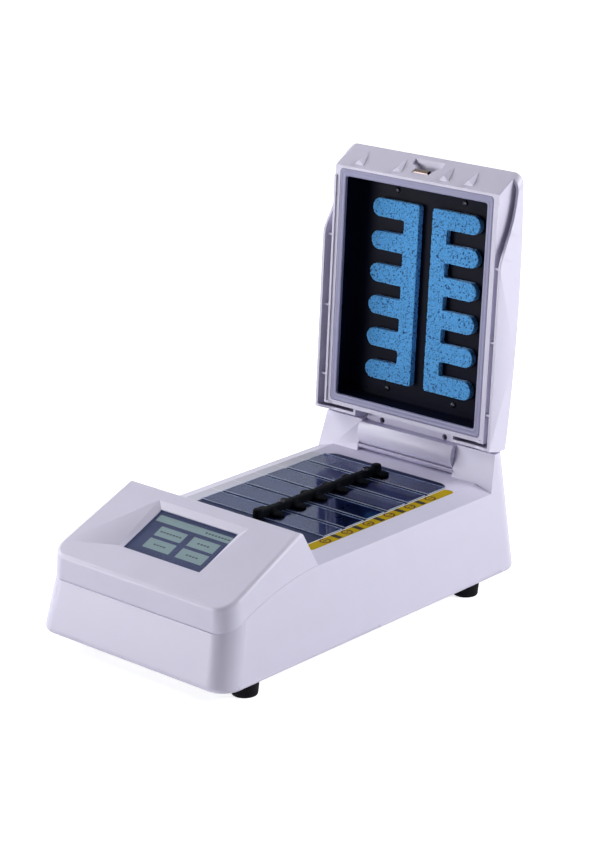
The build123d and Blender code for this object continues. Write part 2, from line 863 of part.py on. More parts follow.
with BuildPart() as heating_plate:
    add(slab(plate_outline(plate_low, 0.0), plate_thickness))
    add(posts(divider_points, screw_hole_r, land - divider_screw_bite - over, land + over), mode=Mode.SUBTRACT)
    add(posts(backing_points, screw_hole_r, plate_low - over, plate_low + backing_screw_bite), mode=Mode.SUBTRACT)
    add(pins(probe_plane, [(0, 0)], probe_r + probe_gap, -over, probe_length - probe_tail), mode=Mode.SUBTRACT)
finish(heating_plate.part, "heating_plate")

with BuildPart() as temperature_probe:
    add(pins(probe_plane, [(0, 0)], probe_r, -probe_tail, probe_length - probe_tail - fit_gap))
finish(temperature_probe.part, "temperature_probe")

heater_y = (plate_rear - heater_front_back, plate_rear - heater_rear_back)
heater_x = (-heater_half_width, heater_half_width)


def under_plate(name, top, thickness):
    """One layer of the stack under the plate, with holes for the screws that clamp it."""
    with BuildPart() as layer:
        add(box(heater_x, heater_y, (top - thickness, top)))
        add(posts(backing_points, screw_hole_r, top - thickness - over, top + over), mode=Mode.SUBTRACT)
    finish(layer.part, name)
    return top - thickness


stack_z = under_plate("plate_heater", plate_low, heater_thickness)
stack_z = under_plate("plate_insulation", stack_z, insulation_thickness)
stack_z = under_plate("heater_backing", stack_z, backing_thickness)
finish(screws(Plane.XY, backing_points, stack_z, plate_low - stack_z + backing_screw_bite - over), "backing_screws")
finish(posts(grid(post_x, post_back), post_r, base_top, plate_low), "plate_posts")
finish(posts([(0, plate_rear - cutout_back)], cutout_r, plate_low - cutout_height, plate_low), "thermal_cutout")

# Glass slides
for side, side_name in ((-1, "left"), (1, "right")):
    for index, back in enumerate(slide_backs):
        with BuildPart() as glass_slide:
            add(box((side * slide_inner, side * (slide_inner + slide_length)),
                    (plate_rear - back - slide_width / 2, plate_rear - back + slide_width / 2),
                    (land, slide_top)))
        finish(glass_slide.part, f"slide_{side_name}_{index + 1}")

# Divider bar over the inner ends of the slides
bar_low = slide_top + touch_gap
with BuildPart() as slide_divider:
    add(slab(plan(bar_low, (-bar_half_width, bar_half_width),
                  (plate_rear - bar_front_back, plate_rear - bar_rear_back), bar_half_width - touch_gap),
             land + bar_rise - bar_low))
    for back in slide_backs:
        with BuildSketch(Plane.XY.offset(bar_low)):
            with Locations((0, plate_rear - back)):
                RectangleRounded(2 * wing_reach, wing_width, wing_corner)
        extrude(amount=land + wing_rise - bar_low)
    for back in gap_backs:
        add(box((-bar_half_width, bar_half_width),
                (plate_rear - back - bar_foot_length / 2, plate_rear - back + bar_foot_length / 2),
                (land, land + wing_rise)))
    add(posts([(0, plate_rear - back) for back in knob_back], knob_r, bar_low, land + bar_rise + knob_height))
    add(posts(divider_points, screw_hole_r, land - over, land + bar_rise + over), mode=Mode.SUBTRACT)
finish(slide_divider.part, "slide_divider")
finish(screws(Plane.XY, divider_points, land + bar_rise, -bar_rise - divider_screw_bite), "divider_screws")

# Index strips beside the plate
strip_inner = plate_half_width + plate_gap + strip_gap
for side, side_name in ((-1, "left"), (1, "right")):
    limits = sorted((side * strip_inner, side * (strip_inner + strip_width)))
    with BuildPart() as index_strip:
        add(slab(plan(land, limits, (plate_rear - strip_front_back, plate_rear - strip_rear_back), strip_corner),
                 strip_thickness))
    finish(index_strip.part, f"index_strip_{side_name}")

# Electronics on the base plate
main_y = plate_rear - main_board_back
board_low = base_top + board_standoff
board_top = board_low + board_thickness
standoff_points = [
    (sx * (main_board[0] / 2 - standoff_inset), main_y + sy * (main_board[1] / 2 - standoff_inset))
    for sx in (-1, 1)
    for sy in (-1, 1)
]
with BuildPart() as control_board:
    add(box((-main_board[0] / 2, main_board[0] / 2), (main_y - main_board[1] / 2, main_y + main_board[1] / 2),
            (board_low, board_top)))
    for (x, y), (length, width), height in (relay, processor, terminals):
        add(box((x - length / 2, x + length / 2), (main_y + y - width / 2, main_y + y + width / 2),
                (board_low, board_top + height)))
finish(control_board.part, "control_board")
finish(posts(standoff_points, standoff_r, base_top, board_low), "board_standoffs")

supply_y = plate_rear - supply_back
with BuildPart() as power_supply:
    add(box((supply_x - supply[0] / 2, supply_x + supply[0] / 2), (supply_y - supply[1] / 2, supply_y + supply[1] / 2),
            (base_top, base_top + supply[2])))
    fillet(power_supply.edges().filter_by(Axis.Z), over)
finish(power_supply.part, "power_supply")

# Mains inlet
with BuildPart() as power_inlet:
    add(rear_block(inlet_x, inlet_body, -inlet_depth, 0.0))
    add(rear_block(inlet_x, inlet_flange, 0.0, inlet_flange_thickness, 3.0))
    add(rear_block(inlet_x, socket_size, inlet_flange_thickness - socket_depth, inlet_flange_thickness + over, 2.0),
        mode=Mode.SUBTRACT)
    with BuildSketch(rear_plane(inlet_x, inlet_flange_thickness - socket_depth)):
        with Locations((-socket_pin_pitch, -socket_pin_step / 2), (0, socket_pin_step / 2),
                       (socket_pin_pitch, -socket_pin_step / 2)):
            Rectangle(*socket_pin)
    extrude(amount=socket_pin_length)
    add(pins(rear_plane(inlet_x), inlet_screw_points, screw_hole_r, -over, 2 * inlet_flange_thickness),
        mode=Mode.SUBTRACT)
finish(power_inlet.part, "power_inlet")
finish(screws(rear_plane(inlet_x), inlet_screw_points, inlet_flange_thickness, -inlet_screw_length), "inlet_screws")

# Mains switch and its rocker
cavity = (rocker_width + 2 * rocker_side_gap, 2 * (rocker_half_length + rocker_end_gap))
pivot_half = rocker_width / 2 + rocker_side_gap + rocker_pin_bite
pivot = rear_plane(switch_x, -rocker_pivot_depth).origin
pivot_plane = Plane(origin=pivot, x_dir=rear_plane(switch_x).y_dir, z_dir=(1, 0, 0))
rocker_axis = Axis(pivot, (1, 0, 0))

with BuildPart() as power_switch:
    add(rear_block(switch_x, switch_body, -switch_depth, 0.0))
    add(rear_block(switch_x, switch_flange, 0.0, switch_flange_thickness, 1.5))
    add(rear_block(switch_x, cavity, -rocker_cavity, switch_flange_thickness + over), mode=Mode.SUBTRACT)
    add(pins(pivot_plane, [(0, 0)], rocker_pin_r + hinge_running_gap, -pivot_half - touch_gap,
             pivot_half + touch_gap), mode=Mode.SUBTRACT)
finish(power_switch.part, "power_switch")

with BuildPart() as switch_rocker:
    with BuildSketch(pivot_plane.offset(-rocker_width / 2)):
        with BuildLine():
            Polyline(
                (-rocker_half_length, rocker_low), (-rocker_half_length, -rocker_tip), (0, -rocker_dip),
                (rocker_half_length, -rocker_tip), (rocker_half_length, rocker_low), close=True,
            )
        make_face()
    extrude(amount=rocker_width)
    add(pins(pivot_plane, [(0, 0)], rocker_pin_r, -pivot_half, pivot_half))
finish(switch_rocker.part.rotate(rocker_axis, -rocker_throw), "switch_rocker")

with BuildPart() as fuse_holder:
    add(rear_disc(fuse_x, fuse_r, -fuse_depth, 0.0))
    add(rear_disc(fuse_x, fuse_cap_r, 0.0, fuse_cap_h))
finish(fuse_holder.part, "fuse_holder")

# Cooling fan behind the rear wall
fan_back = -wall - fan_depth
hub_back = fan_back + fan_spoke_depth + fan_rotor_gap
hub_front = -wall - fan_rotor_gap

with BuildPart() as fan_frame:
    add(rear_block(fan_x, (fan_size, fan_size), fan_back, -wall, fan_corner))
    add(rear_disc(fan_x, fan_bore_r, fan_back - over, 0.0), mode=Mode.SUBTRACT)
    with BuildSketch(rear_plane(fan_x, fan_back)):
        Rectangle(2 * fan_bore_r + over, fan_spoke_width)
        Rectangle(fan_spoke_width, 2 * fan_bore_r + over)
        Circle(fan_motor_r)
    extrude(amount=fan_spoke_depth)
    add(rear_disc(fan_x, fan_shaft_r, fan_back, hub_front - over))
    add(pins(rear_plane(fan_x), fan_screw_points, screw_hole_r, fan_back - over, 0.0), mode=Mode.SUBTRACT)
finish(fan_frame.part, "fan_frame")

blade_middle = (hub_back + hub_front) / 2
with BuildPart(mode=Mode.PRIVATE) as blades:
    for index in range(fan_blades):
        turn = Location((0, 0, 0), (0, 0, 360 * index / fan_blades)) * Location((0, 0, 0), (fan_blade_pitch, 0, 0))
        with BuildPart(mode=Mode.PRIVATE) as blade:
            with Locations((fan_bore_r / 2, 0, 0)):
                Box(fan_bore_r, fan_blade_thickness, fan_blade_chord)
        add(blade.part.moved(rear_plane(fan_x, blade_middle).location * turn))
with BuildPart() as fan_rotor:
    add(common(blades.part, rear_disc(fan_x, fan_blade_r, hub_back, hub_front)))
    add(rear_disc(fan_x, fan_hub_r, hub_back, hub_front))
    add(rear_disc(fan_x, fan_shaft_r + fan_shaft_gap, fan_back, 0.0), mode=Mode.SUBTRACT)
finish(fan_rotor.part, "fan_rotor")

with BuildPart() as fan_grille:
    with BuildSketch(rear_plane(fan_x)):
        for radius in grille_ring_r:
            Circle(radius + grille_ring_width / 2)
            Circle(radius - grille_ring_width / 2, mode=Mode.SUBTRACT)
        for angle in (45, -45):
            Rectangle(fan_screw_pitch * sqrt(2), grille_ring_width, rotation=angle)
        with Locations(*fan_screw_points):
            Circle(grille_ear_r)
            Circle(screw_hole_r, mode=Mode.SUBTRACT)
    extrude(amount=grille_thickness)
finish(fan_grille.part, "fan_grille")
finish(screws(rear_plane(fan_x), fan_screw_points, grille_thickness, -fan_screw_length), "fan_screws")

# Hinge pins, pressed into the towers
finish(ring_round_axis(hinge_pin_r, tower_inner + pin_in_tower, pin_inner), "hinge_pins")

# Keeper on the cover's rear slope, which the lid's clip snaps past
normal_y = keeper_thickness * sqrt(1 + 1 / (rear_angle * rear_angle))
tab_end = slope_back(keeper_tab_rise) - keeper_reach
with BuildPart() as latch_keeper:
    add(across(profile(
        at(slope_back(keeper_low_rise) - touch_gap, keeper_low_rise),
        at(slope_back(keeper_low_rise) - normal_y, keeper_low_rise),
        at(slope_back(keeper_tab_rise) - normal_y, keeper_tab_rise),
        at(tab_end, keeper_tab_rise),
        at(tab_end, keeper_tab_rise + keeper_thickness),
        at(slope_back(keeper_tab_rise + keeper_thickness) - normal_y, keeper_tab_rise + keeper_thickness),
        at(slope_back(keeper_high_rise) - normal_y, keeper_high_rise),
        at(slope_back(keeper_high_rise) - touch_gap, keeper_high_rise),
    ), keeper_half_width))
finish(latch_keeper.part, "latch_keeper")


# Lid, drawn closed
def dome_z(back, inset=0.0):
    """Height over the land of the lid's domed top, inset from its surface."""
    return dome_rise - dome_radius + sqrt((dome_radius - inset) ** 2 - (back - dome_back) ** 2)


def lip_back(rise):
    """Distance of the lid's front face from the plate's rear edge, at one height over the land."""
    return lip_foot_back + lip_slope * rise


lid_ahead = 300.0
lid_rises = (-30.0, 50.0)


def lid_block(inset, low_rise):
    """Outer block of the lid, inset on every side but the bottom."""
    rear_lean = (lid_rear_behind - lid_rear_foot_behind) / (lid_rear_knee_rise + skirt_drop)
    foot = lid_rear_foot_behind + (low_rise + skirt_drop) * rear_lean - inset
    rear = lid_rear_behind - inset
    with BuildSketch(Plane.YZ, mode=Mode.PRIVATE) as outline:
        with BuildLine():
            Polyline(
                at(lid_ahead, dome_z(lid_ahead, inset)), at(lid_ahead, low_rise), at(-foot, low_rise),
                at(-rear, lid_rear_knee_rise), at(-rear, dome_z(-rear, inset)),
            )
            ThreePointArc(at(-rear, dome_z(-rear, inset)), at(dome_back, dome_rise - inset),
                          at(lid_ahead, dome_z(lid_ahead, inset)))
        make_face()
    fronts = [plate_rear - lip_back(rise) + inset * sqrt(1 + lip_slope * lip_slope) for rise in lid_rises]
    return common(
        drafted_block(inset, land + lid_rises[0], land + lid_rises[1], fronts, 2 * (plate_rear + lid_ahead,),
                      lid_corner - inset),
        across(outline.sketch, far_x),
    )


def round_top(part, radius):
    """The block with its top edges rounded, apart from the rear one."""
    with BuildPart(mode=Mode.PRIVATE) as block:
        add(part)
        top = block.faces().sort_by(Axis.Z)[-1]
        edges = [edge for edge in top.outer_wire().edges() if edge.center().Y < plate_rear + frame_rear_behind]
        fillet(edges, radius)
    return block.part


def frame_plan(z, grow, corner):
    """Outline of the lid's opening at height z, grown on every side."""
    half = opening_half_width + grow
    return plan(z, (-half, half), (plate_rear - opening_front_back - grow, plate_rear + opening_rear_behind + grow),
                corner)


lid_outer = round_top(lid_block(0.0, -skirt_drop), lid_round)
lid_inner = lid_block(lid_wall, -skirt_drop - 2 * over)
frame_front = plate_rear - lid_ahead
frame_rear = plate_rear + frame_rear_behind
lobe_inner = tower_inner + fit_gap
tray_top = tray_rise + tray_floor
tray_points = grid(tray_screw_x, tray_screw_back)
leaf_points = grid(leaf_screw_x, (-leaf_screw_behind,))

# Frame round the opening, with its walls up to the top skin
frame_box = box((-frame_outer, frame_outer), (frame_front, frame_rear), (land - frame_drop, high))
frame_hole = box(
    (-frame_outer + frame_wall, frame_outer - frame_wall),
    (frame_front, frame_rear - frame_wall), (land - frame_drop - over, high + over),
)
frame_plate = box((-frame_outer, frame_outer), (frame_front, frame_rear), (land + frame_face_rise, land + frame_plate_rise))
frame_ring = common(joined(less(frame_box, frame_hole), frame_plate), lid_outer)
lobe_walls = common(
    joined(*(box((side * lobe_inner, side * (lobe_inner + lobe_wall)),
                 (frame_rear - over, plate_rear + lid_rear_behind), (land - skirt_drop, high)) for side in (-1, 1))),
    lid_outer,
)
ribs = common(
    joined(*(box((side * (frame_outer - over), side * far_x),
                 (plate_rear - back - rib_thickness / 2, plate_rear - back + rib_thickness / 2), (land, high))
             for side in (-1, 1) for back in rib_back)),
    lid_outer,
)
lid_bosses = common(posts(tray_points, lid_boss_r, land + tray_top, high), lid_outer)

# Pocket for the latch clip, with rounded cheeks
cheek_half = pocket_half_width + 2 * pocket_flare_r
cheek_block = common(
    box((-cheek_half, cheek_half), (frame_front, plate_rear - pocket_back + pocket_wall),
        (land + pocket_low_rise - pocket_wall, land + pocket_high_rise + pocket_wall)),
    lid_outer,
)
with BuildSketch(Plane.XY.offset(land + pocket_low_rise), mode=Mode.PRIVATE) as pocket_plan:
    flare_y = plate_rear - pocket_flare_back
    with Locations((0, (frame_front + plate_rear - pocket_back) / 2)):
        Rectangle(2 * pocket_half_width, plate_rear - pocket_back - frame_front)
    with Locations((0, (frame_front + flare_y) / 2)):
        Rectangle(2 * (pocket_half_width + pocket_flare_r), flare_y - frame_front)
    with Locations((-pocket_half_width - pocket_flare_r, flare_y), (pocket_half_width + pocket_flare_r, flare_y)):
        Circle(pocket_flare_r, mode=Mode.SUBTRACT)
pocket = slab(pocket_plan.sketch, pocket_high_rise - pocket_low_rise)


def gusset(x):
    """Triangular gusset on the lid's front face."""
    foot_y = plate_rear - lip_back(gusset_foot_rise) + lid_wall / 2
    with BuildPart(mode=Mode.PRIVATE) as fin:
        with BuildSketch(Plane.XY.offset(land + gusset_foot_rise)) as foot:
            with BuildLine():
                Polyline(
                    (x - gusset_half_width, foot_y), (x + gusset_half_width, foot_y),
                    (x, foot_y - lid_wall / 2 - gusset_proud), close=True,
                )
            make_face()
        tip = Vertex(x, plate_rear - lip_back(gusset_top_rise) + lid_wall / 2, land + gusset_top_rise)
        loft(sections=[foot.sketch, tip], ruled=True)
    return fin.part


latch_plane = Plane(origin=(0, plate_rear - pocket_back, land), x_dir=(1, 0, 0), z_dir=(0, -1, 0))

# Finger recess at both front corners of the skirt
with BuildSketch(Plane.YZ, mode=Mode.PRIVATE) as recess:
    points = [at(lip_foot_back + ahead, rise) for ahead, rise in recess_curve]
    with BuildLine():
        Spline(*points, tangents=((-1, 0), (-1, 0)))
        Polyline(points[-1], (points[-1][0], deep), (points[0][0], deep), points[0])
    make_face()

leaf = box((-barrel_half, barrel_half), (frame_rear - frame_wall, hinge_y), (land + leaf_rise, land + leaf_top_rise))
barrel = less(
    ring_round_axis(barrel_r, barrel_half),
    box((-far_x, far_x), (casing_front, hinge_y - barrel_flat), (deep, land + leaf_rise)),
)

with BuildPart() as lid_shell:
    add(lid_outer)
    add(lid_inner, mode=Mode.SUBTRACT)
    add([frame_ring, lobe_walls, ribs, lid_bosses, cheek_block])
    for x in gusset_x:
        add(gusset(x))
    add(box((-frame_outer, frame_outer), (frame_front, plate_rear - opening_front_back), (deep, land + frame_face_rise)),
        mode=Mode.SUBTRACT)
    add(pocket, mode=Mode.SUBTRACT)
    add(pins(latch_plane, [(0, latch_screw_rise)], screw_hole_r, -pocket_wall, over), mode=Mode.SUBTRACT)
    add(slab(frame_plan(land - 2 * over, gasket_width + touch_gap, opening_corner + over),
             gasket_rise + gasket_thickness + 2 * over), mode=Mode.SUBTRACT)
    add(slab(frame_plan(land, tray_wall + tray_flange + touch_gap, opening_corner),
             gasket_rise + gasket_thickness + tray_flange_thickness + touch_gap), mode=Mode.SUBTRACT)
    add(slab(frame_plan(land, tray_wall + fit_gap, opening_corner), frame_plate_rise + over), mode=Mode.SUBTRACT)
    add(across(recess.sketch, far_x, frame_outer), mode=Mode.SUBTRACT)
    add(box((-lobe_inner, lobe_inner), (frame_rear, plate_rear + lid_ahead), (deep, high)), mode=Mode.SUBTRACT)
    add(below_deck(fit_gap, deep, plate_rear, hinge_y), mode=Mode.SUBTRACT)
    add([leaf, barrel])
    add(ring_round_axis(barrel_bore_r, barrel_half + over), mode=Mode.SUBTRACT)
    add(ring_round_axis(hinge_bush_r, barrel_half + over, barrel_half - hinge_bush_length), mode=Mode.SUBTRACT)
    add(posts(leaf_points, leaf_hole_r, land + leaf_rise - over, land + leaf_rise + leaf_hole_depth),
        mode=Mode.SUBTRACT)
    add(posts(leaf_points, screw_hole_r, land + leaf_rise, land + leaf_rise + leaf_hole_depth + leaf_screw_length),
        mode=Mode.SUBTRACT)
    add(posts(tray_points, screw_hole_r, land + tray_rise, land + tray_rise + tray_screw_length),
        mode=Mode.SUBTRACT)
finish(opened(lid_shell.part), "lid_shell")

# Gasket, tray and its screws
gasket_z = land + gasket_rise
flange_z = gasket_z + gasket_thickness
with BuildPart() as lid_gasket:
    add(slab(frame_plan(gasket_z, gasket_width, opening_corner + over), gasket_thickness))
    add(slab(frame_plan(gasket_z - over, 0.0, opening_corner), gasket_thickness + 2 * over), mode=Mode.SUBTRACT)
finish(opened(lid_gasket.part), "lid_gasket")

with BuildPart() as lid_tray:
    add(slab(frame_plan(flange_z, tray_wall + tray_flange, opening_corner), tray_flange_thickness))
    add(slab(frame_plan(flange_z, tray_wall, opening_corner), land + tray_top - flange_z))
    add(slab(frame_plan(flange_z - over, 0.0, opening_corner), land + tray_rise - flange_z + over), mode=Mode.SUBTRACT)
    add(posts(tray_points, screw_hole_r, land + tray_rise - over, land + tray_top + over), mode=Mode.SUBTRACT)
finish(opened(lid_tray.part), "lid_tray")
finish(opened(screws(Plane.XY, tray_points, land + tray_rise, tray_screw_length)), "tray_screws")

with BuildPart() as lid_insulation:
    add(lid_block(lid_wall + insulation_gap, -skirt_drop))
    add(slab(frame_plan(land + tray_top + insulation_gap, -insulation_margin, opening_corner), high - land),
        mode=Mode.INTERSECT)
    add(posts(tray_points, lid_boss_r + insulation_gap, land, high), mode=Mode.SUBTRACT)
finish(opened(lid_insulation.part), "lid_insulation")

# Sponge combs on the tray's floor
sponge_rear = plate_rear - sponge_front_back + sponge_finger + sponge_pitch * (slides_per_row - 1)
for side, side_name in ((-1, "left"), (1, "right")):
    with BuildPart() as sponge:
        limits = sorted((side * sponge_inner, side * (sponge_inner + sponge_spine)))
        add(slab(plan(land + tray_rise - sponge_thickness, limits,
                      (plate_rear - sponge_front_back, sponge_rear), sponge_corner), sponge_thickness))
        for index in range(slides_per_row):
            finger_y = plate_rear - sponge_front_back + sponge_finger / 2 + sponge_pitch * index
            start = sponge_inner + sponge_spine / 2
            with BuildSketch(Plane.XY.offset(land + tray_rise - sponge_thickness)):
                with Locations((side * (start + sponge_reach - sponge_finger / 2) / 2, finger_y)):
                    Rectangle(sponge_reach - sponge_finger / 2 - start, sponge_finger)
                with Locations((side * (sponge_reach - sponge_finger / 2), finger_y)):
                    Circle(sponge_finger / 2)
            extrude(amount=sponge_thickness)
    finish(opened(sponge.part), f"sponge_{side_name}")

# Hinge bushes and the screws of the leaf
finish(opened(less(
    ring_round_axis(hinge_bush_r, barrel_half, barrel_half - hinge_bush_length),
    ring_round_axis(hinge_pin_r + hinge_running_gap, barrel_half + over),
)), "hinge_bushes")
finish(opened(screws(Plane.XY, leaf_points, land + leaf_rise + leaf_hole_depth, leaf_screw_length - fit_gap)),
       "leaf_screws")

# Latch clip, folded from strip, and its screw
curl = at(latch_curl_back, pocket_low_rise + latch_curl_r)
strip_y = plate_rear - pocket_back - latch_strip
with BuildPart() as latch_spring:
    with BuildSketch(Plane.YZ.offset(-latch_half_width)):
        with Locations(curl):
            Circle(latch_curl_r)
            Circle(latch_curl_r - latch_strip, mode=Mode.SUBTRACT)
    extrude(amount=2 * latch_half_width)
    add(box((-latch_half_width, latch_half_width), (curl[0], plate_rear - pocket_back),
            (land + pocket_low_rise, land + pocket_low_rise + latch_strip)))
    add(box((-latch_half_width, latch_half_width), (strip_y, plate_rear - pocket_back),
            (land + pocket_low_rise, land + latch_top_rise)))
    add(pins(latch_plane, [(0, latch_screw_rise)], screw_hole_r, -over, latch_strip + over), mode=Mode.SUBTRACT)
finish(opened(latch_spring.part), "latch_spring")
finish(opened(screws(latch_plane, [(0, latch_screw_rise)], latch_strip, -latch_screw_length)), "latch_screw")
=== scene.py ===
"""Looks of the microscope-slide heater: finishes, soft sponges, printed marks, screws, light and camera.

Lengths in this file are millimetres unless a name ends in _m. The lid's own pieces are drawn in its closed
place, and LID_OPEN swings them to the open pose that the frame is in.
"""
import json
import logging
import math
from collections.abc import Iterable, Sequence
from dataclasses import dataclass, field, replace
from enum import Enum
from functools import cache

import bmesh
import bpy
from mathutils import Matrix, Vector, noise


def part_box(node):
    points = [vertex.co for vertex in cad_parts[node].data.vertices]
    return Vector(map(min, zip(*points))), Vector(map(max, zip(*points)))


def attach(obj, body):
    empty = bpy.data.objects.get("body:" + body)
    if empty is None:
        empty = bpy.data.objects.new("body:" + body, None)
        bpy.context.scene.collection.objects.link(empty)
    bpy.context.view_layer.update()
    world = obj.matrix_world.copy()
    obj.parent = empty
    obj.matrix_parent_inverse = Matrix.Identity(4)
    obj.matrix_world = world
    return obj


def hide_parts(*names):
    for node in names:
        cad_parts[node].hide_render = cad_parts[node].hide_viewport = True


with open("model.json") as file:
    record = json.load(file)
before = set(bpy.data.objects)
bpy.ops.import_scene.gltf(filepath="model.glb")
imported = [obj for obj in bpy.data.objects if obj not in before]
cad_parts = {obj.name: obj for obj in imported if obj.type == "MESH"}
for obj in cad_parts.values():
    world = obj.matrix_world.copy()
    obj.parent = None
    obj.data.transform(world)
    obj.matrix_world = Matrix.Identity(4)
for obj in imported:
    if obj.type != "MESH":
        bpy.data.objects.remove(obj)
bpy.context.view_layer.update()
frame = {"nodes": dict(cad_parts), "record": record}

LOG = logging.getLogger("slide_heater")

Pair = tuple[float, float]
Triple = tuple[float, float, float]
Tree = bpy.types.NodeTree
Node = bpy.types.Node
Socket = bpy.types.NodeSocket
Material = bpy.types.Material
Mesh = bpy.types.Mesh
Object = bpy.types.Object

MM = 0.001
IMAGE_HEIGHT_PX = 841.0
SIDES = (-1, 1)
# Most values of a soft noise lie in this span
NOISE_SPAN = (0.3, 0.7)
# Name of the value at each point of a sponge's mesh that says how open its pore is, and so how much shade the
# sponge's finish paints there
SPONGE_PORES = "pores"

# Datums of the part, from its drawing
LAND = 104.5
PLATE_REAR = 150.0
HINGE = (0.0, 186.4, 123.7)
LID_SWING_DEG = 93.6
REAR_DRAFT_DEG = 3.4
REAR_FACE = (207.602, 52.0)
SLIDE_FIRST_BACK = 21.9
SLIDE_PITCH = 30.4
SLIDES_PER_ROW = 6


def about(point: Sequence[float], turn: Matrix) -> Matrix:
    """A turn about a point instead of the origin.

    Args:
        point: The fixed point, in millimetres.
        turn: The turn about the origin.

    Returns:
        The same turn about the point.
    """
    return Matrix.Translation(point) @ turn @ Matrix.Translation(-Vector(point))


LID_OPEN = about(HINGE, Matrix.Rotation(math.radians(-LID_SWING_DEG), 4, "X"))


def rear_place(x: float, up: float = 0.0, out: float = 0.0) -> Matrix:
    """Place on the rear wall: local x is -X, local y goes up the wall and local z points out.

    Args:
        x: X of the place.
        up: Distance up the wall from its datum.
        out: Distance out of the wall.

    Returns:
        The matrix of the place, in millimetres.
    """
    lean = math.radians(REAR_DRAFT_DEG)
    normal = Vector((0.0, math.cos(lean), math.sin(lean)))
    rise = Vector((0.0, -math.sin(lean), math.cos(lean)))
    origin = Vector((x, REAR_FACE[0], REAR_FACE[1])) + rise * up + normal * out
    turn = Matrix((Vector((-1.0, 0.0, 0.0)), rise, normal)).transposed().to_4x4()
    return Matrix.Translation(origin) @ turn


def facing(point: Sequence[float], normal: Sequence[float]) -> Matrix:
    """Place at a point whose local z looks along a normal."""
    turn = Vector(normal).to_track_quat("Z", "Y").to_matrix().to_4x4()
    return Matrix.Translation(point) @ turn


def linear(hex_colour: str) -> tuple[float, float, float, float]:
    """Linear RGBA of a hex colour, by the sRGB curve.

    Args:
        hex_colour: Such as "#d9d7e6".

    Returns:
        Red, green, blue and an alpha of 1.
    """
    values = [int(hex_colour[k:k + 2], 16) / 255 for k in (1, 3, 5)]
    low = [v / 12.92 if v <= 0.04045 else ((v + 0.055) / 1.055) ** 2.4 for v in values]
    return (low[0], low[1], low[2], 1.0)


def per_metre(size_mm: float) -> float:
    """Texture scale that gives a pattern of that size on coordinates in metres."""
    return 1.0 / (size_mm * MM)


def plug(node: Node, inputs: dict[str | int, object]) -> None:
    """Set a node's inputs: a socket is linked to its input, and anything else is the input's value."""
    for key, value in inputs.items():
        if isinstance(value, Socket):
            node.id_data.links.new(value, node.inputs[key])
        else:
            node.inputs[key].default_value = value


def add_node(
    tree: Tree, kind: str, inputs: dict[str | int, object] | None = None, **settings: object,
) -> Node:
    """Add a shader node with its settings and inputs.

    Args:
        tree: The material's node tree.
        kind: The node's type name.
        inputs: The value of each input, or the socket that feeds it.
        **settings: Properties of the node itself.

    Returns:
        The node.
    """
    node = tree.nodes.new(kind)
    for key, value in settings.items():
        setattr(node, key, value)
    plug(node, inputs or {})
    return node


class Slot(Enum):
    """The record's material slots."""

    WHITE_PLASTIC = "white_plastic"
    BLACK_PLASTIC = "black_plastic"
    BLACK_RUBBER = "black_rubber"
    GREY_RUBBER = "grey_rubber"
    HEATER_RUBBER = "heater_rubber"
    SHEET_STEEL = "sheet_steel"
    SCREW_STEEL = "screw_steel"
    BRASS = "brass"
    BLACK_ALUMINIUM = "black_aluminium"
    CIRCUIT_BOARD = "circuit_board"
    INSULATION_FOAM = "insulation_foam"
    BLUE_SPONGE = "blue_sponge"
    SCREEN_GLASS = "screen_glass"
    SLIDE_GLASS = "slide_glass"
    YELLOW_LABEL = "yellow_label"
    GREY_LABEL = "grey_label"


def shade(colour: Sequence[float], factor: float) -> tuple[float, ...]:
    """A linear colour made darker or paler by a factor, and kept within 1."""
    return tuple(min(1.0, channel * factor) for channel in colour[:3]) + (1.0,)


def blend(
    tree: Tree, value: Socket, span: Pair, colours: tuple[Sequence[float], Sequence[float]],
) -> Socket:
    """Turn a value to a colour between two.

    Args:
        tree: The material's node tree.
        value: The value.
        span: The values that give the first and the second colour.
        colours: The two colours.

    Returns:
        The colour's socket.
    """
    ramp = add_node(tree, "ShaderNodeValToRGB", {"Fac": value})
    for stop, position, colour in zip(ramp.color_ramp.elements, span, colours):
        stop.position = position
        stop.color = colour
    return ramp.outputs["Color"]


def remap(tree: Tree, value: Socket, source: Pair, target: Pair) -> Socket:
    """Stretch a value from one range to another, and hold it at the ends."""
    limits = dict(zip(("From Min", "From Max", "To Min", "To Max"), (*source, *target)))
    return add_node(tree, "ShaderNodeMapRange", {"Value": value, **limits}).outputs["Result"]


def combine(tree: Tree, operation: str, first: Socket, second: Socket) -> Socket:
    """Join two values by an operation of the maths node."""
    return add_node(tree, "ShaderNodeMath", {0: first, 1: second}, operation=operation).outputs["Value"]


def soft_noise(tree: Tree, place: Socket, size_mm: float, detail: float, roughness: float = 0.5) -> Socket:
    """Soft noise whose lumps have about that size."""
    inputs = {"Vector": place, "Scale": per_metre(size_mm), "Detail": detail, "Roughness": roughness}
    return add_node(tree, "ShaderNodeTexNoise", inputs).outputs["Fac"]


def background_rays(tree: Tree) -> Socket:
    """One for the rays by which camera, metal and glass see the background, and zero for all others."""
    path = add_node(tree, "ShaderNodeLightPath").outputs
    direct = combine(tree, "MAXIMUM", path["Is Camera Ray"], path["Is Glossy Ray"])
    return combine(tree, "MAXIMUM", direct, path["Is Transmission Ray"])


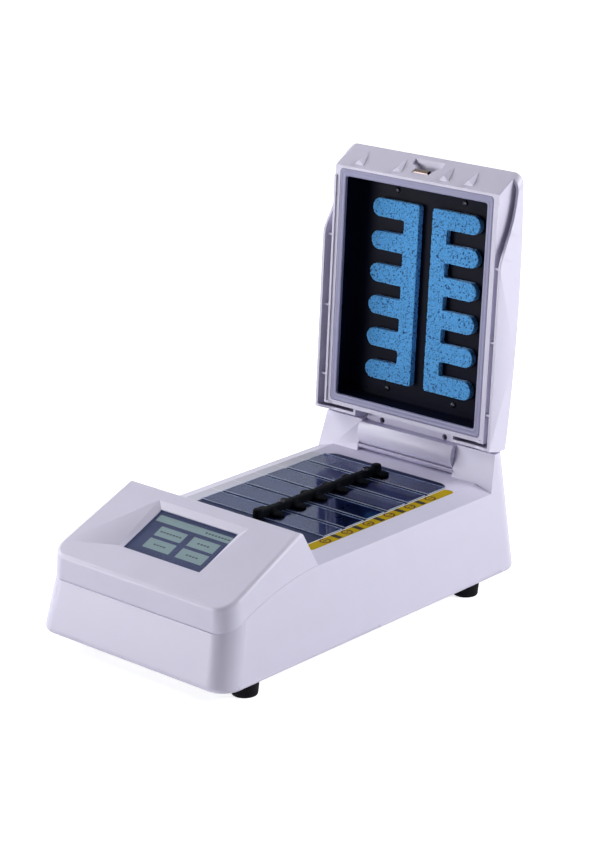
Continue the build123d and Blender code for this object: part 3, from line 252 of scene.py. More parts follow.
@dataclass(frozen=True)
class Finish:
    """A finish with a fine grain, a faint mottle and an uneven gloss.

    The grain and mottle are the size of the real surface's, or as coarse as they need to be to show. On a
    metal, edge_tint is the colour of its reflection at a grazing angle. On anything else it colours the
    reflection seen straight on, and specular sets how strong that reflection is, with 0.5 as the true one.
    """

    name: str
    colour: str
    roughness: float
    metallic: float = 0.0
    ior: float = 1.5
    grain_mm: float = 0.8
    grain_depth_mm: float = 0.01
    mottle_mm: float = 30.0
    mottle: float = 0.03
    gloss_spread: float = 0.05
    stretch: Triple = (1.0, 1.0, 1.0)
    specular: float = 0.5
    edge_tint: str = "#ffffff"

    def build(self) -> Material:
        """The finished material."""
        material = bpy.data.materials.new(self.name)
        material.use_nodes = True
        tree = material.node_tree
        shader = tree.nodes["Principled BSDF"]
        plug(shader, {
            "Base Color": linear(self.colour), "Roughness": self.roughness, "Metallic": self.metallic,
            "Specular Tint": linear(self.edge_tint),
        })
        if not self.metallic:
            plug(shader, {"IOR": self.ior, "Specular IOR Level": self.specular})
        material.diffuse_color = linear(self.colour)
        place = add_node(tree, "ShaderNodeTexCoord").outputs["Object"]
        self.dress(tree, shader, place)
        return material

    def dress(self, tree: Tree, shader: Node, place: Socket) -> None:
        """Link the finish's patterns to its shader.

        Args:
            tree: The material's node tree.
            shader: Its Principled shader.
            place: Object coordinates, in metres.
        """
        self.mottled(tree, shader, place)
        self.grained(tree, shader, place)

    def mottled(self, tree: Tree, shader: Node, place: Socket) -> None:
        """Vary the colour and the gloss softly over the surface."""
        cloud = soft_noise(tree, place, self.mottle_mm, detail=3.0, roughness=0.55)
        base = linear(self.colour)
        tones = (shade(base, 1.0 - self.mottle), shade(base, 1.0 + self.mottle))
        plug(shader, {"Base Color": blend(tree, cloud, NOISE_SPAN, tones)})
        gloss = (self.roughness - self.gloss_spread, self.roughness + self.gloss_spread)
        plug(shader, {"Roughness": remap(tree, cloud, NOISE_SPAN, gloss)})

    def grained(self, tree: Tree, shader: Node, place: Socket) -> None:
        """Raise the fine grain of the surface as a bump."""
        stretched = add_node(tree, "ShaderNodeMapping", {"Vector": place, "Scale": self.stretch})
        grain = soft_noise(tree, stretched.outputs["Vector"], self.grain_mm, detail=2.0, roughness=0.6)
        depth = self.grain_depth_mm * MM
        bump = add_node(tree, "ShaderNodeBump", {"Height": grain, "Strength": 1.0, "Distance": depth})
        plug(shader, {"Normal": bump.outputs["Normal"]})


@dataclass(frozen=True)
class ClearGlass(Finish):
    """Clear polished glass, faintly tinted, with a gloss that a thin film makes uneven."""

    roughness: float = 0.015
    grain_depth_mm: float = 0.0

    def dress(self, tree: Tree, shader: Node, place: Socket) -> None:
        """Make the shader clear and mottle it, without a grain."""
        plug(shader, {"Transmission Weight": 1.0})
        self.mottled(tree, shader, place)


@dataclass(frozen=True)
class LitPanel(Finish):
    """Backlit liquid-crystal layer: the colour glows evenly, with the faint grain of its pixels."""

    glow: float = 0.8
    pixel_mm: float = 0.6
    pixel_shade: float = 0.85

    def dress(self, tree: Tree, shader: Node, place: Socket) -> None:
        """Light the colour from behind and break it with a fine grain."""
        grid = soft_noise(tree, place, self.pixel_mm, detail=1.0)
        base = linear(self.colour)
        colour = blend(tree, grid, NOISE_SPAN, (shade(base, self.pixel_shade), base))
        plug(shader, {"Emission Color": colour, "Base Color": colour, "Emission Strength": self.glow})


@dataclass(frozen=True)
class OpenCellSponge(Finish):
    """Open-cell cellulose sponge: matt bright blue, with shade painted in dark blue where a pore opens and in
    finer flecks between the pores.
    """

    # Dark blue of the painted shade inside an open pore
    pore_shade_colour: str = "#0f417f"
    pore_span: Pair = (0.05, 0.9)
    # Size, span and strength of the finer flecks of painted pore shade
    shade_fleck_mm: float = 0.8
    shade_fleck_span: Pair = (0.47, 0.66)
    shade_fleck_strength: float = 0.75
    sheen: float = 0.25
    sheen_roughness: float = 0.6

    def dress(self, tree: Tree, shader: Node, place: Socket) -> None:
        """Paint shade in dark blue into the pores that the mesh carries, and finer flecks of painted shade
        between them.
        """
        pore = add_node(tree, "ShaderNodeAttribute", attribute_name=SPONGE_PORES)
        fine = soft_noise(tree, place, self.shade_fleck_mm, detail=3.0, roughness=0.7)
        # Painted shade: finer dark flecks, as of small pores in shade
        shade_flecks = remap(tree, fine, self.shade_fleck_span, (0.0, self.shade_fleck_strength))
        deepest = combine(tree, "MAXIMUM", pore.outputs["Fac"], shade_flecks)
        # Painted shade: the deeper a point lies in a pore, the nearer its colour comes to the dark blue of
        # the pore's shade
        colour = blend(tree, deepest, self.pore_span, (linear(self.colour), linear(self.pore_shade_colour)))
        self.grained(tree, shader, place)
        sheen = {"Sheen Weight": self.sheen, "Sheen Roughness": self.sheen_roughness}
        plug(shader, {"Base Color": colour, **sheen})


@dataclass(frozen=True)
class SolderMask(Finish):
    """Epoxy solder mask over copper tracks: glossy green, with paler straight tracks under it."""

    track_colour: str = "#1f6b34"
    track_mm: float = 2.5
    track_span: Pair = (0.45, 0.5)

    def dress(self, tree: Tree, shader: Node, place: Socket) -> None:
        """Draw the tracks as thin cells under the gloss."""
        inputs = {"Vector": place, "Scale": per_metre(self.track_mm)}
        cells = add_node(tree, "ShaderNodeTexVoronoi", inputs, distance="MANHATTAN")
        tones = (linear(self.colour), linear(self.track_colour))
        plug(shader, {"Base Color": blend(tree, cells.outputs["Distance"], self.track_span, tones)})


# Injection-moulded ABS with a fine spark-eroded texture: satin, with soft wide highlights
PALE_ABS = Finish("abs_moulded_pale", "#d4d1e6", 0.42, grain_mm=0.9, grain_depth_mm=0.012, mottle=0.012)
BLACK_ABS = Finish(
    "abs_moulded_black", "#06080d", 0.55, grain_mm=0.9, grain_depth_mm=0.015, mottle=0.12, specular=0.03,
)
# Vacuum-formed polystyrene tray: near black, with hardly any reflection
TRAY_STYRENE = Finish(
    "polystyrene_formed_black", "#0a0d1e", 0.4, grain_mm=2.5, grain_depth_mm=0.02, mottle=0.2, specular=0.04,
)
# Moulded nitrile rubber: dull black with a powdery bloom
FOOT_RUBBER = Finish(
    "nitrile_rubber_moulded", "#0b0b10", 0.72, grain_mm=1.2, grain_depth_mm=0.03, mottle=0.2, specular=0.1,
)
# Extruded silicone: blue-grey, silky and slightly dusty
GASKET_SILICONE = Finish(
    "silicone_extruded_grey", "#9291b4", 0.5, grain_mm=1.5, grain_depth_mm=0.015, mottle=0.04,
)
HEATER_SILICONE = Finish("silicone_sheet_red", "#8e3a22", 0.6, grain_mm=1.5, grain_depth_mm=0.03, mottle=0.08)
# Zinc-plated rolled sheet: grey metal with faint rolling streaks
ZINC_SHEET = Finish(
    "steel_zinc_plated", "#a9abb0", 0.4, metallic=1.0, grain_mm=1.2, mottle=0.06, stretch=(1.0, 0.1, 1.0),
)
# Nickel-plated screws: bright, a little worn on the head
NICKEL_STEEL = Finish("steel_nickel_plated", "#a5a4a6", 0.28, metallic=1.0, grain_mm=0.6, mottle=0.1)
# Black-oxide screws: dark, with an oily sheen
BLACK_OXIDE = Finish("steel_black_oxide", "#3a3a42", 0.35, metallic=1.0, grain_mm=0.6, mottle=0.15)
# Rolled spring steel, tempered and bent cold: a warm grey, with streaks along the strip
SPRING_STEEL = Finish(
    "spring_steel_rolled", "#6e6360", 0.2, metallic=1.0, grain_mm=1.0, grain_depth_mm=0.02, mottle=0.2,
    stretch=(1.0, 0.15, 0.15),
)
TURNED_BRASS = Finish("brass_turned", "#c79a4a", 0.3, metallic=1.0, grain_mm=0.5, mottle=0.08)
# Anodised aluminium, dyed blue-black: the metal shows as a dark mirror that pales at a grazing angle
ANODISED_PLATE = Finish(
    "aluminium_anodised_black", "#333e60", 0.3, metallic=1.0, grain_mm=0.7, grain_depth_mm=0.008,
    mottle=0.15, stretch=(1.0, 0.15, 1.0), edge_tint="#c8c6c4",
)
BOARD_MASK = SolderMask("solder_mask_green", "#12502a", 0.3)
# Needled mineral felt: pale, dull and woolly
INSULATION_FELT = Finish(
    "felt_needled_pale", "#d7d2c2", 0.9, grain_mm=1.8, grain_depth_mm=0.25, mottle=0.1,
)
# Bright blue sponge, with shade painted into its pores
SPONGE_CELLULOSE = OpenCellSponge(
    "cellulose_sponge_blue", "#5cb6fc", 0.85, grain_mm=0.7, grain_depth_mm=0.25, specular=0.1,
)
# Both clear glasses have an index below that of real glass, which keeps their reflections weak
SLIDE_FLOAT_GLASS = ClearGlass(
    "soda_lime_glass_polished", "#cfe0ff", ior=1.15, mottle=0.02, gloss_spread=0.01, edge_tint="#6c84d0",
)
COVER_GLASS = ClearGlass(
    "cover_glass_tempered", "#eef2f6", ior=1.3, mottle=0.01, gloss_spread=0.01, edge_tint="#8c98c8",
)
# Cut and ground edge of a slide: frosted, so it catches the light as a pale line
SLIDE_GROUND_EDGE = Finish("soda_lime_glass_ground", "#b4bed4", 0.6, ior=1.52, grain_mm=0.5, mottle=0.06)
# Screen-printed polyester films: satin, with dense ink
YELLOW_FILM = Finish(
    "polyester_film_yellow", "#ab9206", 0.5, grain_depth_mm=0.006, mottle=0.05, specular=0.05,
)
GREY_FILM = Finish("polyester_film_grey", "#c3c3d4", 0.42, grain_depth_mm=0.006, mottle=0.02)
PRINT_INK = Finish(
    "screen_ink_dark", "#231b0d", 0.5, grain_mm=0.5, grain_depth_mm=0.004, mottle=0.2, specular=0.15,
)
BROWN_INK = replace(PRINT_INK, name="screen_ink_brown", colour="#4a2410")
# Pale ink of the printed lines on the left strip, also used for the painted highlight of the lit deck rim
# along the right strip
PALE_INK_AND_HIGHLIGHT = Finish("pale_ink_and_painted_highlight", "#e9e9ee", 0.45, grain_mm=0.5, grain_depth_mm=0.004)
SCREEN_NAVY = LitPanel("liquid_crystal_navy", "#1c2547", 0.5)
SCREEN_GREY = LitPanel("liquid_crystal_grey_green", "#5c6d70", 0.5)
SCREEN_MARK = LitPanel("liquid_crystal_mark", "#28333b", 0.5)

SLOT_FINISH: dict[Slot, Finish] = {
    Slot.WHITE_PLASTIC: PALE_ABS,
    Slot.BLACK_PLASTIC: BLACK_ABS,
    Slot.BLACK_RUBBER: FOOT_RUBBER,
    Slot.GREY_RUBBER: GASKET_SILICONE,
    Slot.HEATER_RUBBER: HEATER_SILICONE,
    Slot.SHEET_STEEL: ZINC_SHEET,
    Slot.SCREW_STEEL: NICKEL_STEEL,
    Slot.BRASS: TURNED_BRASS,
    Slot.BLACK_ALUMINIUM: ANODISED_PLATE,
    Slot.CIRCUIT_BOARD: BOARD_MASK,
    Slot.INSULATION_FOAM: INSULATION_FELT,
    Slot.BLUE_SPONGE: SPONGE_CELLULOSE,
    Slot.SCREEN_GLASS: COVER_GLASS,
    Slot.SLIDE_GLASS: SLIDE_FLOAT_GLASS,
    Slot.YELLOW_LABEL: YELLOW_FILM,
    Slot.GREY_LABEL: GREY_FILM,
}
NODE_FINISH: dict[str, Finish] = {
    "lid_tray": TRAY_STYRENE,
    "display_module": SCREEN_NAVY,
    "latch_spring": SPRING_STEEL,
    "latch_keeper": SPRING_STEEL,
}


@cache
def paint(finish: Finish) -> Material:
    """The material of a finish, made once and then handed out again."""
    return finish.build()


class PieceMaker:
    """Gathers the faces of one piece, in millimetres, and turns them to an object."""

    def __init__(self) -> None:
        """Start with an empty mesh."""
        self.mesh = bmesh.new()

    def prism(
        self, outline: Sequence[Pair], low: float, top: float, place: Matrix = Matrix(),
    ) -> None:
        """Add an upright solid over a closed outline.

        Args:
            outline: Corners in order, seen from above.
            low: Height of its underside.
            top: Height of its top.
            place: Where its own axes lie.
        """
        under = [self.mesh.verts.new(place @ Vector((x, y, low))) for x, y in outline]
        over = [self.mesh.verts.new(place @ Vector((x, y, top))) for x, y in outline]
        self.mesh.faces.new(list(reversed(under)))
        self.mesh.faces.new(over)
        for k in range(len(outline)):
            n = (k + 1) % len(outline)
            self.mesh.faces.new((under[k], under[n], over[n], over[k]))

    def rings(self, loops: Sequence[Sequence[Vector]], capped: bool, closed: bool = False) -> None:
        """Add a skin over loops of equal length.

        Args:
            loops: The loops, in order.
            capped: Whether the first and last loop get a face.
            closed: Whether the last loop joins the first.
        """
        rows = [[self.mesh.verts.new(point) for point in loop] for loop in loops]
        count = len(rows[0])
        pairs = list(zip(rows, rows[1:])) + ([(rows[-1], rows[0])] if closed else [])
        for first, second in pairs:
            for k in range(count):
                n = (k + 1) % count
                self.mesh.faces.new((first[k], first[n], second[n], second[k]))
        if capped:
            self.mesh.faces.new(list(reversed(rows[0])))
            self.mesh.faces.new(rows[-1])

    def lathe(
        self, profile: Sequence[Pair], place: Matrix = Matrix(), steps: int = 32,
        closed: bool = False,
    ) -> None:
        """Add a turned solid.

        Args:
            profile: Radius and height of each ring, none of them on the axis.
            place: Where its axis stands.
            steps: Corners of each ring.
            closed: Whether the profile closes on itself, round a hole; otherwise its ends get a face.
        """
        loops = [
            [place @ Vector((radius * math.cos(angle), radius * math.sin(angle), height))
             for angle in (2 * math.pi * k / steps for k in range(steps))]
            for radius, height in profile
        ]
        self.rings(loops, capped=not closed, closed=closed)

    def copy(self, mesh: Mesh, place: Matrix = Matrix()) -> None:
        """Add a copy of a mesh that is drawn in millimetres."""
        start = len(self.mesh.verts)
        self.mesh.from_mesh(mesh)
        self.mesh.verts.ensure_lookup_table()
        bmesh.ops.transform(self.mesh, matrix=place, verts=self.mesh.verts[start:])

    def as_mesh(self, name: str) -> Mesh:
        """The gathered faces as a mesh, still in millimetres."""
        bmesh.ops.recalc_face_normals(self.mesh, faces=self.mesh.faces)
        mesh = bpy.data.meshes.new(name)
        self.mesh.to_mesh(mesh)
        self.mesh.free()
        return mesh

    def finish(
        self, name: str, look: Finish, body: str, slot: Slot, stands_for: Iterable[str] = (),
        smooth_deg: float = 35.0,
    ) -> Object:
        """Turn the gathered faces to a piece of the object.

        Args:
            name: The piece's name.
            look: What it is made of.
            body: The body that it rides on.
            slot: The record's slot for its finish; not used.
            stands_for: CAD nodes that it replaces.
            smooth_deg: Edges flatter than this are shaded smooth.

        Returns:
            The object.
        """
        mesh = self.as_mesh(name)
        mesh.transform(Matrix.Scale(MM, 4))
        mesh.materials.append(paint(look))
        return place_piece(mesh, name, body, stands_for, smooth_deg)


def new_object(name: str, data: bpy.types.ID) -> Object:
    """An object with that data, put in the scene."""
    thing = bpy.data.objects.new(name, data)
    bpy.context.scene.collection.objects.link(thing)
    return thing


def place_piece(
    mesh: Mesh, name: str, body: str, stands_for: Iterable[str] = (), smooth_deg: float = 35.0,
) -> Object:
    """Put a mesh in the scene as a piece of the object, riding on a body."""
    mesh.shade_smooth()
    mesh.set_sharp_from_angle(angle=math.radians(smooth_deg))
    piece = new_object(name, mesh)
    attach(piece, body)
    if stands_for:
        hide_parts(*stands_for)
    return piece


def rounded_rectangle(
    x: Pair, y: Pair, radius: float, steps: int = 6,
) -> list[Pair]:
    """Corners of a rounded rectangle, anticlockwise.

    Args:
        x: Its limits along x.
        y: Its limits along y.
        radius: Radius of its corners.
        steps: Pieces of each corner's arc.

    Returns:
        The points in order.
    """
    centres = (
        (x[1] - radius, y[1] - radius, 0.0), (x[0] + radius, y[1] - radius, 90.0),
        (x[0] + radius, y[0] + radius, 180.0), (x[1] - radius, y[0] + radius, 270.0),
    )
    return [
        (cx + radius * math.cos(math.radians(start + 90.0 * k / steps)),
         cy + radius * math.sin(math.radians(start + 90.0 * k / steps)))
        for cx, cy, start in centres
        for k in range(steps + 1)
    ]


def block(x: Pair, y: Pair) -> list[Pair]:
    """Corners of a plain rectangle."""
    return [(x[0], y[0]), (x[1], y[0]), (x[1], y[1]), (x[0], y[1])]


def slide_y(index: float) -> float:
    """Y of the middle of a slide, counted from the rear; a half gives the gap after it."""
    return PLATE_REAR - SLIDE_FIRST_BACK - SLIDE_PITCH * index


def evaluated_mesh(draft: Object) -> Mesh:
    """The mesh of a draft object with its modifiers worked in. The draft itself is removed."""
    graph = bpy.context.evaluated_depsgraph_get()
    mesh = bpy.data.meshes.new_from_object(draft.evaluated_get(graph))
    bpy.data.objects.remove(draft)
    return mesh


@dataclass
class CasingDress:
    """The CAD nodes: each gets its finish, and the edges of the moulded ones and of the plate are eased."""

    eased: dict[str, float] = field(default_factory=lambda: {
        "body_shell": 0.5, "panel_cover": 0.9, "lid_shell": 0.5, "lid_tray": 0.5, "rubber_feet": 1.2,
        "fan_frame": 0.5, "power_inlet": 0.5, "power_switch": 0.4, "switch_rocker": 0.4, "heating_plate": 0.3,
    })
    weld_mm: float = 0.002
    ease_deg: float = 38.0
    ease_steps: int = 2

    def build(self) -> None:
        """Dress every CAD node."""
        slots = {entry["node"]: Slot(entry["material_slot"]) for entry in frame["record"]["subparts"]}
        for name, node in frame["nodes"].items():
            finish = NODE_FINISH.get(name, SLOT_FINISH[slots[name]])
            for holder in node.material_slots:
                holder.material = paint(finish)
            if name in self.eased:
                self.ease(node, self.eased[name])

    def ease(self, node: Object, width_mm: float) -> None:
        """Round a node's sharp edges a little, as a mould leaves them."""
        weld = node.modifiers.new("weld", "WELD")
        weld.merge_threshold = self.weld_mm * MM
        bevel = node.modifiers.new("eased_edges", "BEVEL")
        bevel.width = width_mm * MM
        bevel.segments = self.ease_steps
        bevel.limit_method = "ANGLE"
        bevel.angle_limit = math.radians(self.ease_deg)


@dataclass
class SpongeComb:
    """One of the two sponge combs in the lid, on its left or right side, cut from open-cell sponge."""

    side: str
    voxel_mm: float = 0.7
    pore_mm: float = 1.7
    pore_depth_mm: float = 0.55
    pore_start: float = 0.14
    pore_full: float = 0.5
    fine_pore_share: float = 0.45
    fine_pore_scale: float = 2.1
    wave_mm: float = 14.0
    wave_depth_mm: float = 0.35

    def build(self) -> None:
        """Make the comb in the space of its CAD solid."""
        node = frame["nodes"][f"sponge_{self.side}"]
        mesh = self.fine_mesh(node)
        self.open_pores(mesh)
        mesh.materials.clear()
        mesh.materials.append(paint(SPONGE_CELLULOSE))
        name = f"sponge_comb_{self.side}"
        piece = place_piece(mesh, name, "lid", [node.name], smooth_deg=180.0)

    def fine_mesh(self, node: Object) -> Mesh:
        """An even fine mesh over a CAD node's shape."""
        draft = new_object("sponge_draft", node.data.copy())
        remesh = draft.modifiers.new("remesh", "REMESH")
        remesh.mode = "VOXEL"
        remesh.voxel_size = self.voxel_mm * MM
        return evaluated_mesh(draft)

    def open_pores(self, mesh: Mesh) -> None:
        """Sink pores into the surface and note how deep each point lies, which the sponge's finish paints as
        shade.
        """
        layer = mesh.attributes.new(SPONGE_PORES, "FLOAT", "POINT")
        normals = [vertex.normal.copy() for vertex in mesh.vertices]
        for vertex, normal in zip(mesh.vertices, normals):
            spot = vertex.co / (self.pore_mm * MM)
            value = noise.noise(spot) + self.fine_pore_share * noise.noise(spot * self.fine_pore_scale)
            share = min(1.0, max(0.0, (value - self.pore_start) / (self.pore_full - self.pore_start)))
            wave = 0.5 + 0.5 * noise.noise(vertex.co / (self.wave_mm * MM))
            sink = share * self.pore_depth_mm + wave * self.wave_depth_mm
            vertex.co -= normal * sink * MM
            # How deep the pore is sunk here: the sponge's finish paints this as shade
            layer.data[vertex.index].value = share


@dataclass
class GlassSlides:
    """Glass slides with polished faces and ground edges, with the arrises taken off.

    Each lies on a thin film of air, because faces in one plane would render as speckle. A face is polished
    when the z of its normal reaches flat_z, and ground otherwise.
    """

    arris: float = 0.12
    air_gap: float = 0.04
    flat_z: float = 0.9

    def build(self) -> None:
        """Make every slide in the space of its CAD solid."""
        for side in ("left", "right"):
            for index in range(1, SLIDES_PER_ROW + 1):
                self.slide(f"slide_{side}_{index}")

    def slide(self, node: str) -> None:
        """One slide: its edge faces are ground, and its two large faces are clear."""
        low, high = (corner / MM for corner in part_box(node))
        low.z += self.air_gap
        arris = self.arris
        loops = []
        for inset, z in ((arris, low.z), (0.0, low.z + arris), (0.0, high.z - arris), (arris, high.z)):
            outline = block((low.x + inset, high.x - inset), (low.y + inset, high.y - inset))
            loops.append([Vector((x, y, z)) for x, y in outline])
        maker = PieceMaker()
        maker.rings(loops, capped=True)
        name = node.replace("slide", "glass")
        piece = maker.finish(name, SLIDE_FLOAT_GLASS, "base", Slot.SLIDE_GLASS, [node], smooth_deg=20.0)
        piece.data.materials.append(paint(SLIDE_GROUND_EDGE))
        for face in piece.data.polygons:
            if abs(face.normal.z) < self.flat_z:
                face.material_index = 1


@dataclass
class DividerBar:
    """The moulded bar between the two rows: a rounded rail with a domed clip over the ends of each pair.

    The edge of a knob is listed as inset and drop, that of a clip as inset and share of its rise, and the
    shape of a clip's crown as shares of its radius and rise.
    """

    low: float = LAND + 1.25
    rail_y: Pair = (-45.5, 131.5)
    rail_half: float = 3.7
    rail_top: float = LAND + 8.0
    rail_round: float = 1.4
    round_steps: int = 5
    clip_reach: float = 15.5
    clip_half: float = 5.6
    clip_rise: float = 3.4
    clip_edge: tuple[Pair, ...] = ((0.0, 0.0), (0.0, 0.45), (0.9, 0.8), (2.6, 1.0))
    clip_flat: float = 0.2
    crown_half: float = 6.6
    crown_rise: float = 6.8
    crown_shape: tuple[Pair, ...] = ((1.0, 0.0), (0.97, 0.5), (0.8, 0.85), (0.45, 1.0))
    crown_steps: int = 24
    knob_r: float = 5.0
    knob_top: float = LAND + 10.2
    knob_edge: tuple[Pair, ...] = ((0.0, 1.6), (0.5, 0.6), (1.6, 0.1), (4.6, 0.0))
    knob_backs: Pair = (20.5, 191.6)
    foot_half: float = 1.6
    foot_bite: float = 0.5

    def build(self) -> None:
        """Make the rail, its clips, its feet in the gaps and its two knobs."""
        maker = PieceMaker()
        self.rail(maker)
        for index in range(SLIDES_PER_ROW):
            self.clip(maker, slide_y(index))
        for index in range(SLIDES_PER_ROW - 1):
            y = slide_y(index + 0.5)
            foot = block((-self.rail_half, self.rail_half), (y - self.foot_half, y + self.foot_half))
            maker.prism(foot, LAND, self.low + self.foot_bite)
        edge = [(self.knob_r - inset, self.knob_top - drop) for inset, drop in self.knob_edge]
        for back in self.knob_backs:
            place = Matrix.Translation((0.0, PLATE_REAR - back, 0.0))
            maker.lathe([(self.knob_r, self.low), *edge], place)
        maker.finish("divider_bar", BLACK_ABS, "base", Slot.BLACK_PLASTIC, ["slide_divider"])

    def rail(self, maker: PieceMaker) -> None:
        """A rail with a rounded top, closed at both ends."""
        half, top, corner = self.rail_half, self.rail_top, self.rail_round
        section = [(-half, self.low), (half, self.low), (half, top - corner)]
        flank, flat = half - corner, top - corner
        for k in range(1, self.round_steps + 1):
            angle = math.radians(90.0 * k / self.round_steps)
            section.append((flank + corner * math.cos(angle), flat + corner * math.sin(angle)))
        section += [(-x, z) for x, z in reversed(section[2:])]
        loops = [[Vector((x, y, z)) for x, z in section] for y in self.rail_y]
        maker.rings(loops, capped=True)

    def clip(self, maker: PieceMaker, y: float) -> None:
        """A flat rounded clip over four slide ends, with a crown where it meets the rail."""
        loops = []
        for inset, share in self.clip_edge:
            reach, half = self.clip_reach - inset, self.clip_half - inset
            outline = rounded_rectangle((-reach, reach), (y - half, y + half), half - self.clip_flat)
            height = self.low + self.clip_rise * share
            loops.append([Vector((px, py, height)) for px, py in outline])
        maker.rings(loops, capped=True)
        radius, rise = self.crown_half, self.crown_rise
        crown = [(radius * width, self.low + rise * share) for width, share in self.crown_shape]
        maker.lathe(crown, Matrix.Translation((0.0, y, 0.0)), self.crown_steps)


@dataclass
class GasketBead:
    """The silicone gasket round the lid's opening, with a groove between its two soft lips.

    Half of its section is listed, as distance out and height, from its inner top corner to mid groove.
    """

    half_width: float = 87.7
    front_y: float = PLATE_REAR - 219.4
    rear_y: float = PLATE_REAR + 1.9
    width: float = 7.3
    low: float = LAND + 0.3
    half_section: tuple[Pair, ...] = (
        (0.0, 3.0), (0.0, 0.9), (0.25, 0.35), (0.9, 0.0), (2.2, 0.03), (2.9, 0.2), (3.65, 0.28),
    )
    inner_corner: float = 3.0
    outer_corner: float = 4.0
    corner_steps: int = 8

    def build(self) -> None:
        """Sweep the gasket's section round the opening."""
        mirrored = [(self.width - out, height) for out, height in reversed(self.half_section[:-1])]
        loops = []
        for out, height in [*self.half_section, *mirrored]:
            outline = rounded_rectangle(
                (-self.half_width - out, self.half_width + out), (self.front_y - out, self.rear_y + out),
                self.inner_corner + (self.outer_corner - self.inner_corner) * out / self.width,
                self.corner_steps,
            )
            loops.append([LID_OPEN @ Vector((x, y, self.low + height)) for x, y in outline])
        maker = PieceMaker()
        maker.rings(loops, capped=False, closed=True)
        maker.finish("gasket_bead", GASKET_SILICONE, "lid", Slot.GREY_RUBBER, ["lid_gasket"])


@dataclass
class CrossScrews:
    """Pan-head screws with a cross recess, which stand for the plain CAD ones."""

    head_r: float = 2.8
    head_h: float = 2.0
    edge_h: float = 0.9
    dome_steps: int = 6
    dome_fullness: float = 0.8
    crown_r: float = 0.3
    shank_r: float = 1.45
    shank_steps: int = 20
    arm_half: float = 0.42
    arm_reach: float = 1.7
    recess_depth: float = 1.2
    recess_over: float = 1.0

    def __post_init__(self) -> None:
        """Draw the head once: its seat is at z = 0 and its top looks up."""
        dome = [(self.head_r, 0.0), (self.head_r, self.edge_h)]
        rise = self.head_h - self.edge_h
        for k in range(1, self.dome_steps):
            angle = math.radians(90.0 * k / self.dome_steps)
            radius = self.head_r * math.cos(angle) ** self.dome_fullness
            dome.append((radius, self.edge_h + rise * math.sin(angle)))
        dome.append((self.crown_r, self.head_h))
        head = PieceMaker()
        head.lathe(dome)
        half, reach = self.arm_half, self.arm_reach
        arm = [(reach, -half), (reach, half), (half, half)]
        outline = []
        for _ in range(4):
            outline += arm
            arm = [(-y, x) for x, y in arm]
        cross = PieceMaker()
        cross.prism(outline, self.head_h - self.recess_depth, self.head_h + self.recess_over)
        self.head = self.cut(head.as_mesh("screw_head"), cross.as_mesh("screw_cross"))

    def cut(self, body: Mesh, tool: Mesh) -> Mesh:
        """One mesh less another.

        Args:
            body: What stays.
            tool: What is taken away.

        Returns:
            The rest.
        """
        rest = new_object("rest", body)
        away = new_object("away", tool)
        boolean = rest.modifiers.new("cut", "BOOLEAN")
        boolean.operation = "DIFFERENCE"
        boolean.object = away
        mesh = evaluated_mesh(rest)
        bpy.data.objects.remove(away)
        return mesh

    def build(self, node: str, body: str, places: Sequence[Matrix], length: float, look: Finish) -> None:
        """Make one set of screws.

        Args:
            node: The CAD node that they stand for.
            body: The body that they ride on.
            places: Where each head's seat lies; local z points out of the work.
            length: How far the shank goes in.
            look: What the screws are made of.
        """
        maker = PieceMaker()
        for place in places:
            maker.copy(self.head, place)
            maker.lathe([(self.shank_r, -length), (self.shank_r, 0.0)], place, self.shank_steps)
        maker.finish(node.replace("screw", "cross_screw"), look, body, Slot.SCREW_STEEL, [node])


@dataclass
class VisibleScrews:
    """Every screw that can be seen from outside.

    A seat is the height of the face that a head rests on, or how far that face stands out of the rear wall.
    """

    divider_gaps: Pair = (0.5, 4.5)
    divider_seat: float = LAND + 8.0
    leaf_x: float = 40.0
    leaf_y: float = PLATE_REAR + 23.2
    leaf_seat: float = LAND + 22.0
    tray_x: float = 42.0
    tray_y: Pair = (PLATE_REAR - 8.5, PLATE_REAR - 209.5)
    tray_seat: float = LAND + 26.0
    latch_at: Triple = (0.0, PLATE_REAR - 225.8, LAND + 17.0)
    fan_x: float = 55.0
    fan_half_pitch: float = 25.0
    fan_seat: float = 1.6
    inlet_x: float = -66.0
    inlet_half_pitch: float = 20.0
    inlet_seat: float = 2.4
    case_x: float = 100.2
    case_y: Triple = (-195.5, -3.85, 179.8)
    case_seat: float = 15.0

    def build(self) -> None:
        """Make all the sets."""
        screws = CrossScrews()
        down, forward = (0.0, 0.0, -1.0), (0.0, -1.0, 0.0)
        divider = [Matrix.Translation((0.0, slide_y(gap), self.divider_seat)) for gap in self.divider_gaps]
        screws.build("divider_screws", "base", divider, length=10.0, look=BLACK_OXIDE)
        leaf = [LID_OPEN @ facing((side * self.leaf_x, self.leaf_y, self.leaf_seat), down) for side in SIDES]
        screws.build("leaf_screws", "lid", leaf, length=5.5, look=BLACK_OXIDE)
        tray = [
            LID_OPEN @ facing((side * self.tray_x, y, self.tray_seat), down)
            for side in SIDES for y in self.tray_y
        ]
        screws.build("tray_screws", "lid", tray, length=4.5, look=BLACK_OXIDE)
        latch = [LID_OPEN @ facing(self.latch_at, forward)]
        screws.build("latch_screw", "lid", latch, length=2.0, look=NICKEL_STEEL)
        half = self.fan_half_pitch
        fan = [
            rear_place(self.fan_x - side * half, up * half, self.fan_seat) for side in SIDES for up in SIDES
        ]
        screws.build("fan_screws", "base", fan, length=13.5, look=NICKEL_STEEL)
        half = self.inlet_half_pitch
        inlet = [rear_place(self.inlet_x - side * half, 0.0, self.inlet_seat) for side in SIDES]
        screws.build("inlet_screws", "base", inlet, length=4.5, look=NICKEL_STEEL)
        case = [facing((side * self.case_x, y, self.case_seat), down) for side in SIDES for y in self.case_y]
        screws.build("case_screws", "base", case, length=13.5, look=NICKEL_STEEL)


